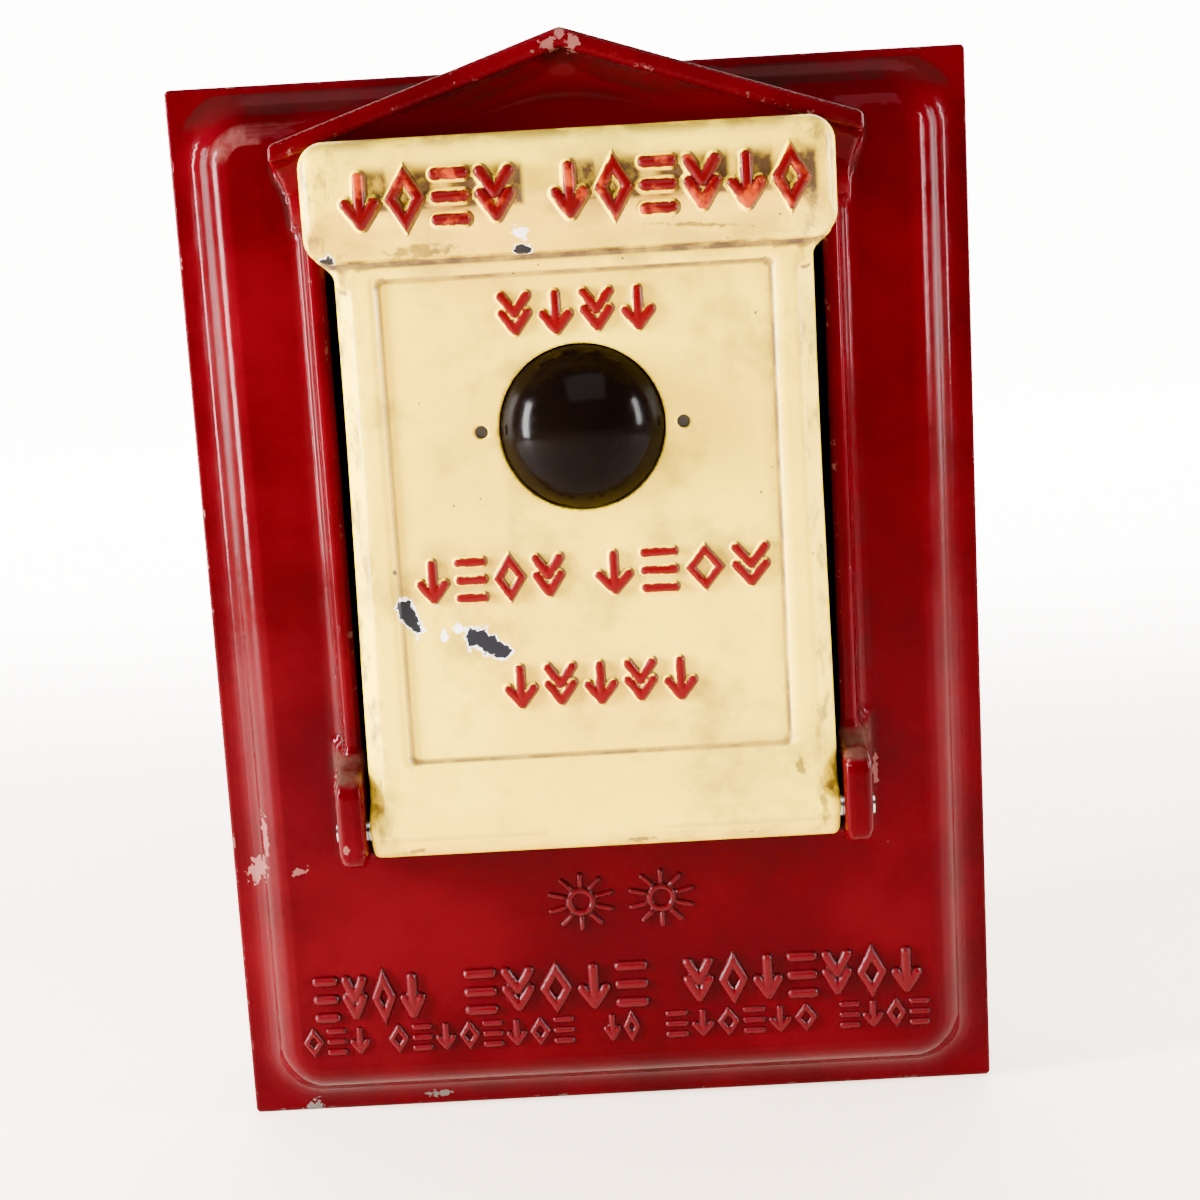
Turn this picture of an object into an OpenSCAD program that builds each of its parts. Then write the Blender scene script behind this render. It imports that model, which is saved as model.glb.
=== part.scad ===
// Wall-mounted manual call point: cast cover, pull-handle door, pull-down lever and a coded-signal clockwork.
// The origin is the centre of the back box's rear face. +X is right, +Y is into the wall, +Z is up.

/* [Cover] */
// Width of the cover's flange
plate_w = 190; // [184:1:210]
// Height of the cover's flange
plate_h = 258; // [252:1:280]
// Thickness of the flange
flange_t = 3.5; // [2.5:0.5:4]
// Width of the flange that shows round the raised pan
flange_border = 8; // [6:1:10]
// How far the pan's face stands off the wall
pan_height = 11.5; // [10.5:0.5:12]
// Corner radius of the pan
pan_corner_r = 9; // [4:1:14]
// Wall thickness of the casting
cast_wall = 3.5; // [2.5:0.5:4]
// How far the side rails stand off the wall
rail_height = 18.5; // [15:0.5:20]
// How far the pediment stands off the wall
pediment_height = 32.5; // [28:0.5:34]

/* [Door] */
// Width of the door's body
door_w = 111; // [108:1:112]
// How far the door's face stands off the wall
door_height = 27; // [26:0.5:28]
// Depth of the door's tray from its face to the rear edge of its side walls
door_depth = 18; // [14:0.5:19]
// Height of the hinge axis above the centre of the plate
hinge_z = -50; // [-52:0.5:-49]
// Height of the top of the door's body above the centre of the plate
door_top_z = 86; // [84:0.5:87]
// Radius of the barrel along the door's foot
barrel_r = 7; // [6.5:0.5:7.5]
// Radius of the hinge pin
hinge_pin_r = 3; // [2:0.5:3.5]
// Width of the grip bar
grip_w = 119.4; // [112:0.2:122]
// Height of the grip bar
grip_h = 27; // [24:0.5:28]
// Thickness of the grip bar
grip_t = 16.5; // [14:0.5:18]
// Radius on the grip bar's edges and corners
grip_r = 6; // [4:0.5:7]

/* [Lens] */
// Diameter of the glass dome that shows
lens_d = 38; // [30:1:40]
// How far the dome stands out of the door's recessed panel
lens_rise = 11; // [6:0.5:16]
// Height of the lens centre above the centre of the plate
lens_z = 45.6; // [44:0.2:48]
// Distance of each small screw from the lens centre
lens_screw_x = 23.6; // [23.2:0.2:25]

/* [Lever] */
// Distance from the lever's pivot to the middle of its handle
lever_l = 35.5; // [33:0.5:36]
// Radius of the lever's handle
lever_handle_r = 4.5; // [3.5:0.5:5]
// Width of the lever's handle
lever_handle_w = 44; // [30:1:60]
// How far the lever turns when it is pulled down
lever_travel = 72; // [60:1:72]

/* [Clockwork] */
// Number of notches in each of the three groups on the code wheel
code_groups = [3, 2, 4]; // [1:1:5]
// Radius of the code wheel
code_wheel_r = 14; // [12:0.5:14]

/* [Back box] */
// Width of the back box
box_w = 172; // [168:1:176]
// Height of the back box
box_h = 241; // [238:1:246]
// Depth of the back box behind the wall's surface
box_depth = 55; // [55:1:60]
// Wall thickness of the back box
box_wall = 2.5; // [2:0.5:3]

/* [Hidden] */
$fn = 64;

// Clearances: parts fixed together, parts that turn on each other, and loose parts
fixed_gap = 0.02;
running_gap = 0.06;
loose_gap = 0.3;
// Gaps of the springs: round their shafts, and where a leg rests on a face
wire_gap = 0.4;
rest_gap = 0.1;
// Overshoot of every cut past the face that it opens
cut = 1;

// Depths along Y, front to back
wall_y = -box_depth;
pan_y = wall_y - pan_height;
rail_y = wall_y - rail_height;
pediment_y = wall_y - pediment_height;
door_y = wall_y - door_height;
flange_y = wall_y - flange_t;

// Cover. The flange is a little narrower at the top and bottom than at the sides
plate_corner_r = 1;
end_border = flange_border - 1;
pan_w = plate_w - 2 * flange_border;
pan_h = plate_h - 2 * end_border;
pan_hollow_r = pan_corner_r - cast_wall + 1;
floor_t = 3;
floor_y = wall_y - floor_t;
door_gap = 1.8;
head_gap = 2;
foot_gap = 1.5;
opening_w = door_w + 2 * door_gap;
opening_top = door_top_z + head_gap;
opening_bottom = hinge_z - barrel_r - foot_gap;
rail_w = 4.1;
rail_margin = 1;
rail_x = opening_w / 2 + rail_margin + rail_w / 2;
rail_top = 100;
eave_x = 67;
eave_z = 109;
apex_z = 131.2;
fascia_h = 4;
ear_w = 8;
ear_r = 9;
ear_flat_r = 8.5;
ear_top = hinge_z + 13.5;
// A shallow seat in the cover's back takes the gasket, so the flange lies flat on the wall
seat_depth = 0.5;
gasket_w = 4;

// Door
door_wall = 3;
chamfer = 4.3;
door_back_y = door_y + door_depth;
hinge_y = door_y + barrel_r;
panel_w = 90.4;
panel_top = 81.5;
panel_bottom = -32.4;
panel_depth = 1.5;
panel_y = door_y + panel_depth;
panel_back_y = panel_y + door_wall;
grip_stand = 14.5;
grip_y = door_y - grip_stand;
grip_z = 99.4;
grip_gap = 0.7;
corbel_y = grip_y + grip_t + grip_gap;
grip_wall = 4;
hollow_bottom = hinge_z + barrel_r + 2;
spring_bay_w = 24;
spring_bay_y = door_y + 2;
buffer_at = [53.5, 70];
buffer_r = 3;
door_wire_r = 0.6;
door_coil_half_l = 9;
door_coil_turns = 7.5;

// Lens stack, front to back behind the door's panel
lens_r = lens_d / 2;
lens_hole_r = lens_r + 0.4;
lens_flange_r = lens_r + 3;
gasket_t = 0.8;
lens_flange_t = 2;
retainer_t = 1.2;
lens_flange_y = panel_back_y + gasket_t;
retainer_y = lens_flange_y + lens_flange_t;
retainer_back_y = retainer_y + retainer_t;
retainer_h = lens_d + 4;
retainer_end_r = 5;
retainer_hole_r = lens_r - 3;
glass_t = 4;
lens_screw_r = 1.5;
lens_screw_head_r = 2.8;
lens_screw_head_t = 1.6;
lens_screw_sink = 1.2;
// The dome is the cap of a sphere whose radius follows from its base and its rise
lens_sphere_r = (lens_r * lens_r + lens_rise * lens_rise) / (2 * lens_rise);

// Cover screws and the pillars that they go into
pillar_x = 46;
pillar_z = [70, -44];
pillar_r = 5.5;
rivet_r = 3;
cover_screw_r = 2;
cover_screw_l = 16;
cover_screw_head_r = 4;
cover_screw_head_t = 2.6;

// Gears: the sector drives the code pinion, and the train wheel drives the governor's pinion
sector_teeth = 60;
pinion_teeth = 12;
sector_module = 0.7;
train_teeth = 48;
governor_teeth = 12;
train_module = 0.55;

// Clockwork positions, measured as [Y, Z]
pivot = [wall_y + 20, -12];
mesh_angle = 60;
sector_r = sector_teeth * sector_module / 2;
pinion_r = pinion_teeth * sector_module / 2;
code_axis = pivot + (sector_r + pinion_r) * [cos(mesh_angle), sin(mesh_angle)];
train_angle = 100;
train_r = train_teeth * train_module / 2;
governor_r = governor_teeth * train_module / 2;
governor_axis = code_axis + (train_r + governor_r) * [cos(train_angle), sin(train_angle)];
lever_rest_angle = 180 - lever_travel / 2;
lever_shaft_r = 4;
lever_hub_r = 8;
lever_hub_half_w = 9;
lever_arm_w = 7;
lever_arm_h = 9;
slot_w = lever_arm_w + 4;
slot_h = 49;
lever_wire_r = 0.8;
lever_coil_r = 6.6;
lever_coil_x = [-23, -11];
lever_coil_turns = 6.4;
arbor_r = 2;
governor_arbor_r = 1.25;
arbor_half_l = 30;
lever_bush_r = 6;
code_bush_r = 4;
governor_bush_r = 3;
bush_flange = 1.4;
bush_flange_t = 1;
bush_stand = 0.4;
code_wheel_x = [-15, -13];
code_group_angle = 115;
notch_angle = 15;
notch_depth = 2.4;
notch_w = 2;
sector_x = [13, 16];
pinion_x = [11, 18];
train_x = [20, 22];
governor_pinion_x = [19, 23];
sector_first = -14;
sector_last = 2;
sector_hole_r = 2.8;
sector_hole_ring_r = 13.5;
sector_hole_angles = [-8, 24, 56];
train_holes = 5;
train_hole_r = 2.4;
train_hole_ring_r = 7.5;
stop_pin_r = 2;
stop_ring_r = 15;
fly_half_w = 9;
fly_span = 22;
fly_t = 1.2;
fly_hub_r = 3;
clip_t = 1;
clip_r = 6.5;

// Mechanism frame: a base with two cheeks
cheek_x = 26;
sheet_t = 2;
frame_front_y = wall_y + 4;
base_y = wall_y + 48;
frame_bottom = -46;
frame_top = 54;
pad_x = 20;
pad_z = [-38, 38];
pad_r = 5;
frame_screw_r = 2;
frame_screw_l = 4;
frame_screw_head_r = 3.6;
frame_screw_head_t = 2;

// Contact stack, clamped on a tab bent from the left cheek
stack_x = [-22, -10];
stack_z = [41, 51];
stack_front_y = wall_y + 11.5;
tab_y = wall_y + 21;
tab_t = 1.5;
tab_end = 2;
tab_edge = 1;
tab_w = cheek_x + cut + stack_x[1] + tab_end;
tab_h = stack_z[1] - stack_z[0] + 2 * tab_edge;
leaf_t = 0.4;
front_leaf_y = wall_y + 14.6;
rear_leaf_y = wall_y + 17.6;
leaf_x = [-17, -11];
leaf_mid_x = -14;
leaf_top = 58;
front_leaf_bottom = 15;
rear_leaf_bottom = 7;
button_r = 1.5;
button_h = 0.7;
button_z = 20;
contact_screw_z = [43.5, 48.5];
contact_screw_r = 1.2;
contact_screw_head_r = 2.2;
contact_screw_head_t = 1.4;

// Back box
box_y = wall_y + 1;
box_back_y = -box_wall;
box_corner_r = 6;
fixing_x = 70;
fixing_z = 100;
fixing_r = 2.75;
hub_y = -26;
hub_bore_r = 10;
hub_throat_r = 8;
hub_collar_r = 14;
hub_shank_r = 12;
hub_shank_l = box_wall + 5;
hub_h = 13;
hub_thread_depth = 12;
knockout_gap = 0.2;
locknut_t = 3.5;
locknut_r = 16.5;
earth_at = [-60, 30];
earth_screw_r = 2;
earth_screw_head_r = 4;
earth_screw_head_t = 2.2;
thread_depth = 1.5;

// Terminal block
block_z = [-84, -70];
block_mid_z = (block_z[0] + block_z[1]) / 2;
block_w = 52;
block_t = 12;
block_y = box_back_y - block_t;
barrier_pitch = 10;
barrier_w = 1.6;
barrier_h = 3;
terminal_x = [-15, -5, 5, 15];
terminal_screw_r = 1.75;
terminal_screw_l = 7;
terminal_screw_head_r = 3.4;
terminal_screw_head_t = 1.8;
block_screw_x = 23.3;
block_screw_r = 1.5;
block_screw_head_r = 2.4;
block_screw_head_t = 1.6;

// Signal leads
lead_r = 0.9;
lead_steps = 4;
lead_end_y = block_y - 3.5;
lead_end_z = block_z[1] - 1.5;

// ---------- shapes shared by the parts ----------

// An X-Z outline, made solid from one depth to another
module slab(front, back) {
    translate([0, back, 0])
        rotate([90, 0, 0])
            linear_extrude(back - front)
                children();
}

// A Y-Z outline, made solid from one X to another
module bar(left, right) {
    translate([left, 0, 0])
        rotate([90, 0, 90])
            linear_extrude(right - left)
                children();
}

// A round rod along X, centred on a [Y, Z] point
module rod_x(left, right, at, r) {
    bar(left, right)
        translate(at)
            circle(r);
}

// A round rod along Y, centred on an [X, Z] point
module rod_y(front, back, at, r) {
    slab(front, back)
        translate(at)
            circle(r);
}

// A rectangle about the origin with exact round corners
module rounded_rect(w, h, r) {
    square([w - 2 * r, h], center = true);
    square([w, h - 2 * r], center = true);
    for (sx = [-1, 1], sz = [-1, 1])
        translate([sx * (w / 2 - r), sz * (h / 2 - r)])
            circle(r);
}

// A rectangle between two heights, centred on X = 0
module span_rect(w, bottom, top) {
    translate([-w / 2, bottom])
        square([w, top - bottom]);
}

// A slotted cheese-head screw along Y, with its head to the front
module slotted_screw(at, seat_y, length, r, head_r, head_t) {
    difference() {
        union() {
            rod_y(seat_y - head_t, seat_y, at, head_r);
            rod_y(seat_y, seat_y + length, at, r);
        }
        translate([at[0], seat_y - head_t, at[1]])
            cube([2 * head_r + cut, head_t, head_r / 4], center = true);
    }
}

// A round tube of the given radius along a list of points
function unit(v) = v / norm(v);
function tangent(path, i) =
    unit(path[min(i + 1, len(path) - 1)] - path[max(i - 1, 0)]);
function ring(at, along, side_ref, r, sides) =
    let (u = unit(cross(along, side_ref)), v = cross(along, u))
    [for (k = [0 : sides - 1]) at + r * (cos(k * 360 / sides) * u + sin(k * 360 / sides) * v)];

module tube(path, r, side_ref, sides = 8) {
    rings = len(path);
    points = [for (i = [0 : rings - 1]) each ring(path[i], tangent(path, i), side_ref, r, sides)];
    walls = [
        for (i = [0 : rings - 2], k = [0 : sides - 1])
            let (a = i * sides + k, b = i * sides + (k + 1) % sides)
            each [[a, a + sides, b + sides], [a, b + sides, b]]
    ];
    start_cap = [for (k = [0 : sides - 1]) k];
    end_cap = [for (k = [sides - 1 : -1 : 0]) (rings - 1) * sides + k];
    polyhedron(points = points, faces = concat(walls, [start_cap, end_cap]));
}

// A direction close to X, which no spring's wire follows exactly
near_x = [1, 0.02, 0.03];

// Points of a coil about a line along X
function coil(at, x0, x1, r, start_angle, turns, steps = 14) = [
    for (i = [0 : turns * steps])
        let (t = i / (turns * steps), a = start_angle + 360 * turns * t)
        [x0 + (x1 - x0) * t, at[0] + r * cos(a), at[1] + r * sin(a)]
];

// Involute gear teeth
pressure_angle = 20;
addendum = 0.85;
dedendum = 1.2;
tooth_play = 0.14;
flank_steps = 4;
function involute_angle(a) = tan(a) * 180 / PI - a;
function tooth_half_angle(r, base_r, pitch_half) =
    pitch_half + involute_angle(pressure_angle)
    - (r > base_r ? involute_angle(acos(base_r / r)) : 0);
function polar(r, a) = r * [cos(a), sin(a)];
function tooth(teeth, size, centre) =
    let (
        pitch_r = teeth * size / 2,
        base_r = pitch_r * cos(pressure_angle),
        root_r = pitch_r - dedendum * size,
        tip_r = pitch_r + addendum * size,
        pitch_half = 90 / teeth - tooth_play * size / pitch_r * 90 / PI,
        low_r = max(base_r, root_r),
        flank = [root_r, for (k = [0 : flank_steps]) low_r + (tip_r - low_r) * k / flank_steps],
        last = len(flank) - 1
    )
    concat(
        [for (r = flank) polar(r, centre - tooth_half_angle(r, base_r, pitch_half))],
        [for (k = [last : -1 : 0]) polar(flank[k], centre + tooth_half_angle(flank[k], base_r, pitch_half))]
    );

module gear_outline(teeth, size, first_tooth_angle) {
    polygon([for (i = [0 : teeth - 1]) each tooth(teeth, size, first_tooth_angle + i * 360 / teeth)]);
}

// ---------- cover ----------

// The band along the roof's edge: two slopes that meet at the apex
module fascia_outline() {
    polygon([
        [-eave_x, eave_z], [-eave_x, eave_z + fascia_h], [0, apex_z + fascia_h],
        [eave_x, eave_z + fascia_h], [eave_x, eave_z], [0, apex_z]
    ]);
}

// Height of the roof's underside at a distance from the middle
function soffit_z(x) = apex_z - (apex_z - eave_z) * x / eave_x;

// The wall under the roof, as far up as the middle of the fascia
module tympanum_outline() {
    polygon([
        [-eave_x, eave_z], [-eave_x, eave_z + fascia_h / 2], [0, apex_z + fascia_h / 2],
        [eave_x, eave_z + fascia_h / 2], [eave_x, eave_z]
    ]);
}

// The bracket under each end of the roof, which runs down into the rail
module corbel_outline() {
    inner_x = rail_x - rail_w / 2;
    for (side = [0, 1])
        mirror([side, 0])
            polygon([
                [inner_x, rail_top], [inner_x + rail_w, rail_top], [eave_x, eave_z],
                [eave_x, eave_z + fascia_h / 2], [inner_x, soffit_z(inner_x) + fascia_h / 2]
            ]);
}

module pediment() {
    slab(pediment_y, wall_y)
        fascia_outline();
    slab(corbel_y, wall_y)
        corbel_outline();
    slab(pan_y, wall_y)
        tympanum_outline();
}

module side_rails() {
    for (sx = [-1, 1])
        slab(rail_y, pan_y + cut)
            translate([sx * rail_x, (rail_top + cut + ear_top) / 2])
                square([rail_w, rail_top + cut - ear_top], center = true);
}

module hinge_ears() {
    for (x = [-opening_w / 2 - ear_w, opening_w / 2])
        bar(x, x + ear_w) {
            translate([hinge_y, hinge_z])
                circle(ear_r);
            translate([hinge_y - ear_flat_r, hinge_z - ear_r / 2])
                square([pan_y + cut - hinge_y + ear_flat_r, ear_top - hinge_z + ear_r / 2]);
            translate([hinge_y, hinge_z - ear_flat_r])
                square([pan_y - hinge_y + cut, ear_r]);
        }
}

module opening_outline(margin) {
    span_rect(opening_w + 2 * margin, opening_bottom - margin, opening_top + margin);
}

module cover_casting() {
    difference() {
        union() {
            slab(flange_y, wall_y)
                rounded_rect(plate_w, plate_h, plate_corner_r);
            slab(pan_y, wall_y)
                rounded_rect(pan_w, pan_h, pan_corner_r);
            pediment();
            side_rails();
        }
        slab(pan_y + cast_wall, wall_y + cut)
            rounded_rect(pan_w - 2 * cast_wall, pan_h - 2 * cast_wall, pan_hollow_r);
        slab(wall_y - seat_depth, wall_y + cut)
            rounded_rect(box_w + 2 * loose_gap, box_h + 2 * loose_gap, box_corner_r);
    }
    slab(pan_y, wall_y)
        opening_outline(cast_wall);
    hinge_ears();
}

module front_cover() {
    color("firebrick")
        difference() {
            cover_casting();
            slab(pan_y - cut, floor_y)
                opening_outline(0);
            slab(floor_y - cut, wall_y + cut)
                translate([0, pivot[1]])
                    rounded_rect(slot_w, slot_h, slot_w / 2 - 1);
            for (sx = [-1, 1], z = pillar_z)
                rod_y(floor_y - cut, wall_y + cut, [sx * pillar_x, z], cover_screw_r + loose_gap);
            rod_x(-plate_w / 2, plate_w / 2, [hinge_y, hinge_z], hinge_pin_r + fixed_gap);
        }
}

module cover_gasket() {
    color("dimgray")
        slab(wall_y - seat_depth, box_y)
            difference() {
                rounded_rect(box_w, box_h, box_corner_r);
                rounded_rect(box_w - 2 * gasket_w, box_h - 2 * gasket_w, box_corner_r - gasket_w + 1);
            }
}

module cover_screws() {
    color("silver")
        for (sx = [-1, 1], z = pillar_z)
            slotted_screw(
                [sx * pillar_x, z], floor_y, cover_screw_l,
                cover_screw_r, cover_screw_head_r, cover_screw_head_t
            );
}

// ---------- back box ----------

module frame_pads() {
    for (sx = [-1, 1], z = pad_z)
        difference() {
            rod_y(base_y + sheet_t, box_back_y + cut, [sx * pad_x, z], pad_r);
            rod_y(base_y, box_back_y, [sx * pad_x, z], frame_screw_r + fixed_gap);
        }
}

module back_box() {
    thread_y = box_back_y + thread_depth;
    color("slategray") {
        difference() {
            slab(box_y, 0)
                rounded_rect(box_w, box_h, box_corner_r);
            slab(box_y - cut, box_back_y)
                rounded_rect(box_w - 2 * box_wall, box_h - 2 * box_wall, box_corner_r - box_wall);
            for (sx = [-1, 1], sz = [-1, 1])
                rod_y(box_back_y - cut, cut, [sx * fixing_x, sz * fixing_z], fixing_r);
            for (sx = [-1, 1], z = pillar_z)
                rod_y(box_back_y - cut, cut, [sx * pillar_x, z], rivet_r + fixed_gap);
            translate([0, hub_y, box_h / 2 - box_wall - cut])
                cylinder(h = box_wall + 2 * cut, r = hub_shank_r + knockout_gap);
            for (x = [-block_screw_x, block_screw_x])
                rod_y(box_back_y - cut, thread_y, [x, block_mid_z], block_screw_r + fixed_gap);
            rod_y(box_back_y - cut, thread_y, earth_at, earth_screw_r + fixed_gap);
        }
        frame_pads();
    }
}

// Tapped pillars, each riveted through the back of the box by its stem
module box_pillars() {
    color("silver")
        for (sx = [-1, 1], z = pillar_z)
            difference() {
                union() {
                    rod_y(wall_y, box_back_y, [sx * pillar_x, z], pillar_r);
                    rod_y(box_back_y, 0, [sx * pillar_x, z], rivet_r);
                }
                rod_y(wall_y - cut, wall_y + cover_screw_l, [sx * pillar_x, z], cover_screw_r + fixed_gap);
            }
}

// Threaded entry for the conduit: a collar on top of the box, and a shank through it with a narrower throat
module conduit_hub() {
    color("darkgray")
        translate([0, hub_y, box_h / 2])
            difference() {
                union() {
                    cylinder(h = hub_h, r = hub_collar_r);
                    translate([0, 0, -hub_shank_l])
                        cylinder(h = hub_shank_l + cut, r = hub_shank_r);
                }
                translate([0, 0, -hub_shank_l - cut])
                    cylinder(h = hub_shank_l + hub_h, r = hub_throat_r);
                translate([0, 0, hub_h - hub_thread_depth])
                    cylinder(h = hub_thread_depth + cut, r = hub_bore_r);
            }
}

module hub_locknut() {
    color("silver")
        translate([0, hub_y, box_h / 2 - box_wall - locknut_t])
            difference() {
                cylinder(h = locknut_t, r = locknut_r, $fn = 6);
                translate([0, 0, -cut])
                    cylinder(h = locknut_t + 2 * cut, r = hub_shank_r + fixed_gap);
            }
}

module earth_screw() {
    color("seagreen")
        slotted_screw(
            earth_at, box_back_y, thread_depth, earth_screw_r, earth_screw_head_r, earth_screw_head_t
        );
}

// ---------- door ----------

module grip_bar() {
    intersection() {
        slab(grip_y, grip_y + grip_t)
            translate([0, grip_z])
                rounded_rect(grip_w, grip_h, grip_r);
        bar(-grip_w / 2, grip_w / 2)
            translate([grip_y + grip_t / 2, grip_z])
                rounded_rect(grip_t, grip_h, grip_r);
    }
}

module door_tray_outline() {
    polygon([
        [-door_w / 2, door_back_y], [-door_w / 2, door_y + chamfer], [-door_w / 2 + chamfer, door_y],
        [door_w / 2 - chamfer, door_y], [door_w / 2, door_y + chamfer], [door_w / 2, door_back_y]
    ]);
}

module door_tray() {
    difference() {
        translate([0, 0, hinge_z])
            linear_extrude(door_top_z - hinge_z)
                door_tray_outline();
        slab(panel_back_y, door_back_y + cut)
            span_rect(door_w - 2 * door_wall, hollow_bottom, door_top_z - door_wall);
        slab(hinge_y, door_back_y + cut)
            span_rect(door_w + cut, hinge_z - cut, hinge_z + barrel_r);
    }
    rod_x(-door_w / 2, door_w / 2, [hinge_y, hinge_z], barrel_r);
}

module handle_door() {
    color("wheat")
        difference() {
            union() {
                door_tray();
                slab(door_y, panel_back_y)
                    span_rect(door_w, door_top_z - cut, grip_z);
                grip_bar();
            }
            slab(door_y - cut, panel_y)
                span_rect(panel_w, panel_bottom, panel_top);
            slab(grip_y + grip_wall, grip_y + grip_t + cut)
                span_rect(grip_w - 4 * grip_wall, grip_z, grip_z + grip_h / 2 - grip_wall);
            rod_y(panel_y - cut, panel_back_y + cut, [0, lens_z], lens_hole_r);
            for (x = [-lens_screw_x, lens_screw_x])
                rod_y(panel_y - cut, panel_back_y + cut, [x, lens_z], lens_screw_r + fixed_gap);
            slab(spring_bay_y, door_back_y)
                span_rect(spring_bay_w, hinge_z - barrel_r - cut, hollow_bottom + cut);
            rod_x(-door_w, door_w, [hinge_y, hinge_z], hinge_pin_r + running_gap);
        }
}

module door_hinge_pin() {
    pin_x = opening_w / 2 + ear_w;
    color("lightgray")
        rod_x(-pin_x, pin_x, [hinge_y, hinge_z], hinge_pin_r);
}

// Torsion spring round the hinge pin: one leg lies on the recess floor, the other pushes on the door's back
module door_spring() {
    x = door_coil_half_l;
    coil_r = hinge_pin_r + door_wire_r + wire_gap;
    floor_leg = [-x, floor_y - door_wire_r - rest_gap, hinge_z + 12];
    door_leg_y = panel_back_y + door_wire_r + 2 * rest_gap;
    door_leg = [[x, door_leg_y, hollow_bottom - 2], [x, door_leg_y, hinge_z + 20]];
    turns = coil([hinge_y, hinge_z], -x, x, coil_r, -20, door_coil_turns);
    color("gray")
        tube(concat([floor_leg], turns, door_leg), door_wire_r, near_x);
}

module door_buffers() {
    color("black")
        for (sx = [-1, 1])
            rod_y(door_back_y + loose_gap, floor_y, [sx * buffer_at[0], buffer_at[1]], buffer_r);
}

// ---------- lens ----------

// A profile of [radius, depth] points turned about the lens axis
module lens_turn() {
    translate([0, 0, lens_z])
        rotate([-90, 0, 0])
            rotate_extrude()
                children();
}

module lens_dome() {
    centre_y = panel_y - lens_rise + lens_sphere_r;
    color([0.1, 0.05, 0.04])
        lens_turn()
            difference() {
                union() {
                    intersection() {
                        translate([0, centre_y])
                            circle(lens_sphere_r);
                        translate([0, panel_y - lens_rise])
                            square([lens_r, lens_rise + 1]);
                    }
                    translate([0, panel_y])
                        square([lens_r, retainer_y - panel_y]);
                    translate([0, lens_flange_y])
                        square([lens_flange_r, lens_flange_t]);
                }
                translate([0, centre_y])
                    intersection() {
                        circle(lens_sphere_r - glass_t);
                        translate([0, -lens_sphere_r])
                            square([lens_r - glass_t, lens_sphere_r + 2 * lens_rise]);
                    }
                translate([-cut, panel_y])
                    square([lens_r - glass_t + cut, retainer_y - panel_y + cut]);
                translate([-lens_sphere_r, panel_y - lens_rise - cut])
                    square([lens_sphere_r, retainer_y - panel_y + lens_rise + 2 * cut]);
            }
}

module lens_gasket() {
    color("black")
        lens_turn()
            translate([lens_hole_r, panel_back_y])
                square([lens_flange_r - lens_hole_r, gasket_t]);
}

module lens_retainer() {
    color("goldenrod")
        slab(retainer_y, retainer_back_y)
            translate([0, lens_z])
                difference() {
                    rounded_rect(2 * (lens_screw_x + retainer_end_r), retainer_h, retainer_end_r);
                    circle(retainer_hole_r);
                    for (sx = [-1, 1])
                        translate([sx * lens_screw_x, 0])
                            circle(lens_screw_r + fixed_gap);
                }
}

// The screws go in from behind, so only their round ends show on the door's face
module lens_screws() {
    color("dimgray")
        for (sx = [-1, 1]) {
            at = [sx * lens_screw_x, lens_z];
            rod_y(panel_y + lens_screw_sink, retainer_back_y, at, lens_screw_r);
            rod_y(retainer_back_y, retainer_back_y + lens_screw_head_t, at, lens_screw_head_r);
        }
}

// ---------- mechanism frame ----------

module cheek_outline() {
    difference() {
        translate([frame_front_y, frame_bottom])
            square([base_y + sheet_t - frame_front_y, frame_top - frame_bottom]);
        translate(pivot)
            circle(lever_bush_r + fixed_gap);
        translate(code_axis)
            circle(code_bush_r + fixed_gap);
        translate(governor_axis)
            circle(governor_bush_r + fixed_gap);
    }
}

module mechanism_frame() {
    color("khaki")
        difference() {
            union() {
                slab(base_y, base_y + sheet_t)
                    span_rect(2 * cheek_x + 2 * sheet_t, frame_bottom, frame_top);
                bar(cheek_x, cheek_x + sheet_t)
                    cheek_outline();
                bar(-cheek_x - sheet_t, -cheek_x)
                    cheek_outline();
                slab(tab_y, tab_y + tab_t)
                    translate([-cheek_x - cut, stack_z[0] - tab_edge])
                        square([tab_w, tab_h]);
            }
            for (sx = [-1, 1], z = pad_z)
                rod_y(base_y - cut, base_y + sheet_t + cut, [sx * pad_x, z], frame_screw_r + loose_gap);
            for (z = contact_screw_z)
                rod_y(tab_y - cut, tab_y + tab_t + cut, [leaf_mid_x, z], contact_screw_r + fixed_gap);
            for (a = stop_angles)
                rod_x(
                    cheek_x - cut, cheek_x + sheet_t + cut,
                    pivot + polar(stop_ring_r, a), stop_pin_r + fixed_gap
                );
        }
}

module frame_screws() {
    color("silver")
        for (sx = [-1, 1], z = pad_z)
            slotted_screw(
                [sx * pad_x, z], base_y, frame_screw_l, frame_screw_r, frame_screw_head_r, frame_screw_head_t
            );
}

module flanged_bush(side, at, outer_r, inner_r) {
    inner_x = cheek_x - bush_flange_t;
    outer_x = cheek_x + sheet_t + bush_stand;
    difference() {
        union() {
            rod_x(
                min(side * inner_x, side * cheek_x), max(side * inner_x, side * cheek_x),
                at, outer_r + bush_flange
            );
            rod_x(min(side * cheek_x, side * outer_x), max(side * cheek_x, side * outer_x), at, outer_r);
        }
        rod_x(-outer_x - cut, outer_x + cut, at, inner_r);
    }
}

module bearing_bushes() {
    color("goldenrod")
        for (side = [-1, 1]) {
            flanged_bush(side, pivot, lever_bush_r, lever_shaft_r + running_gap);
            flanged_bush(side, code_axis, code_bush_r, arbor_r + running_gap);
            flanged_bush(side, governor_axis, governor_bush_r, governor_arbor_r + running_gap);
        }
}

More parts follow.
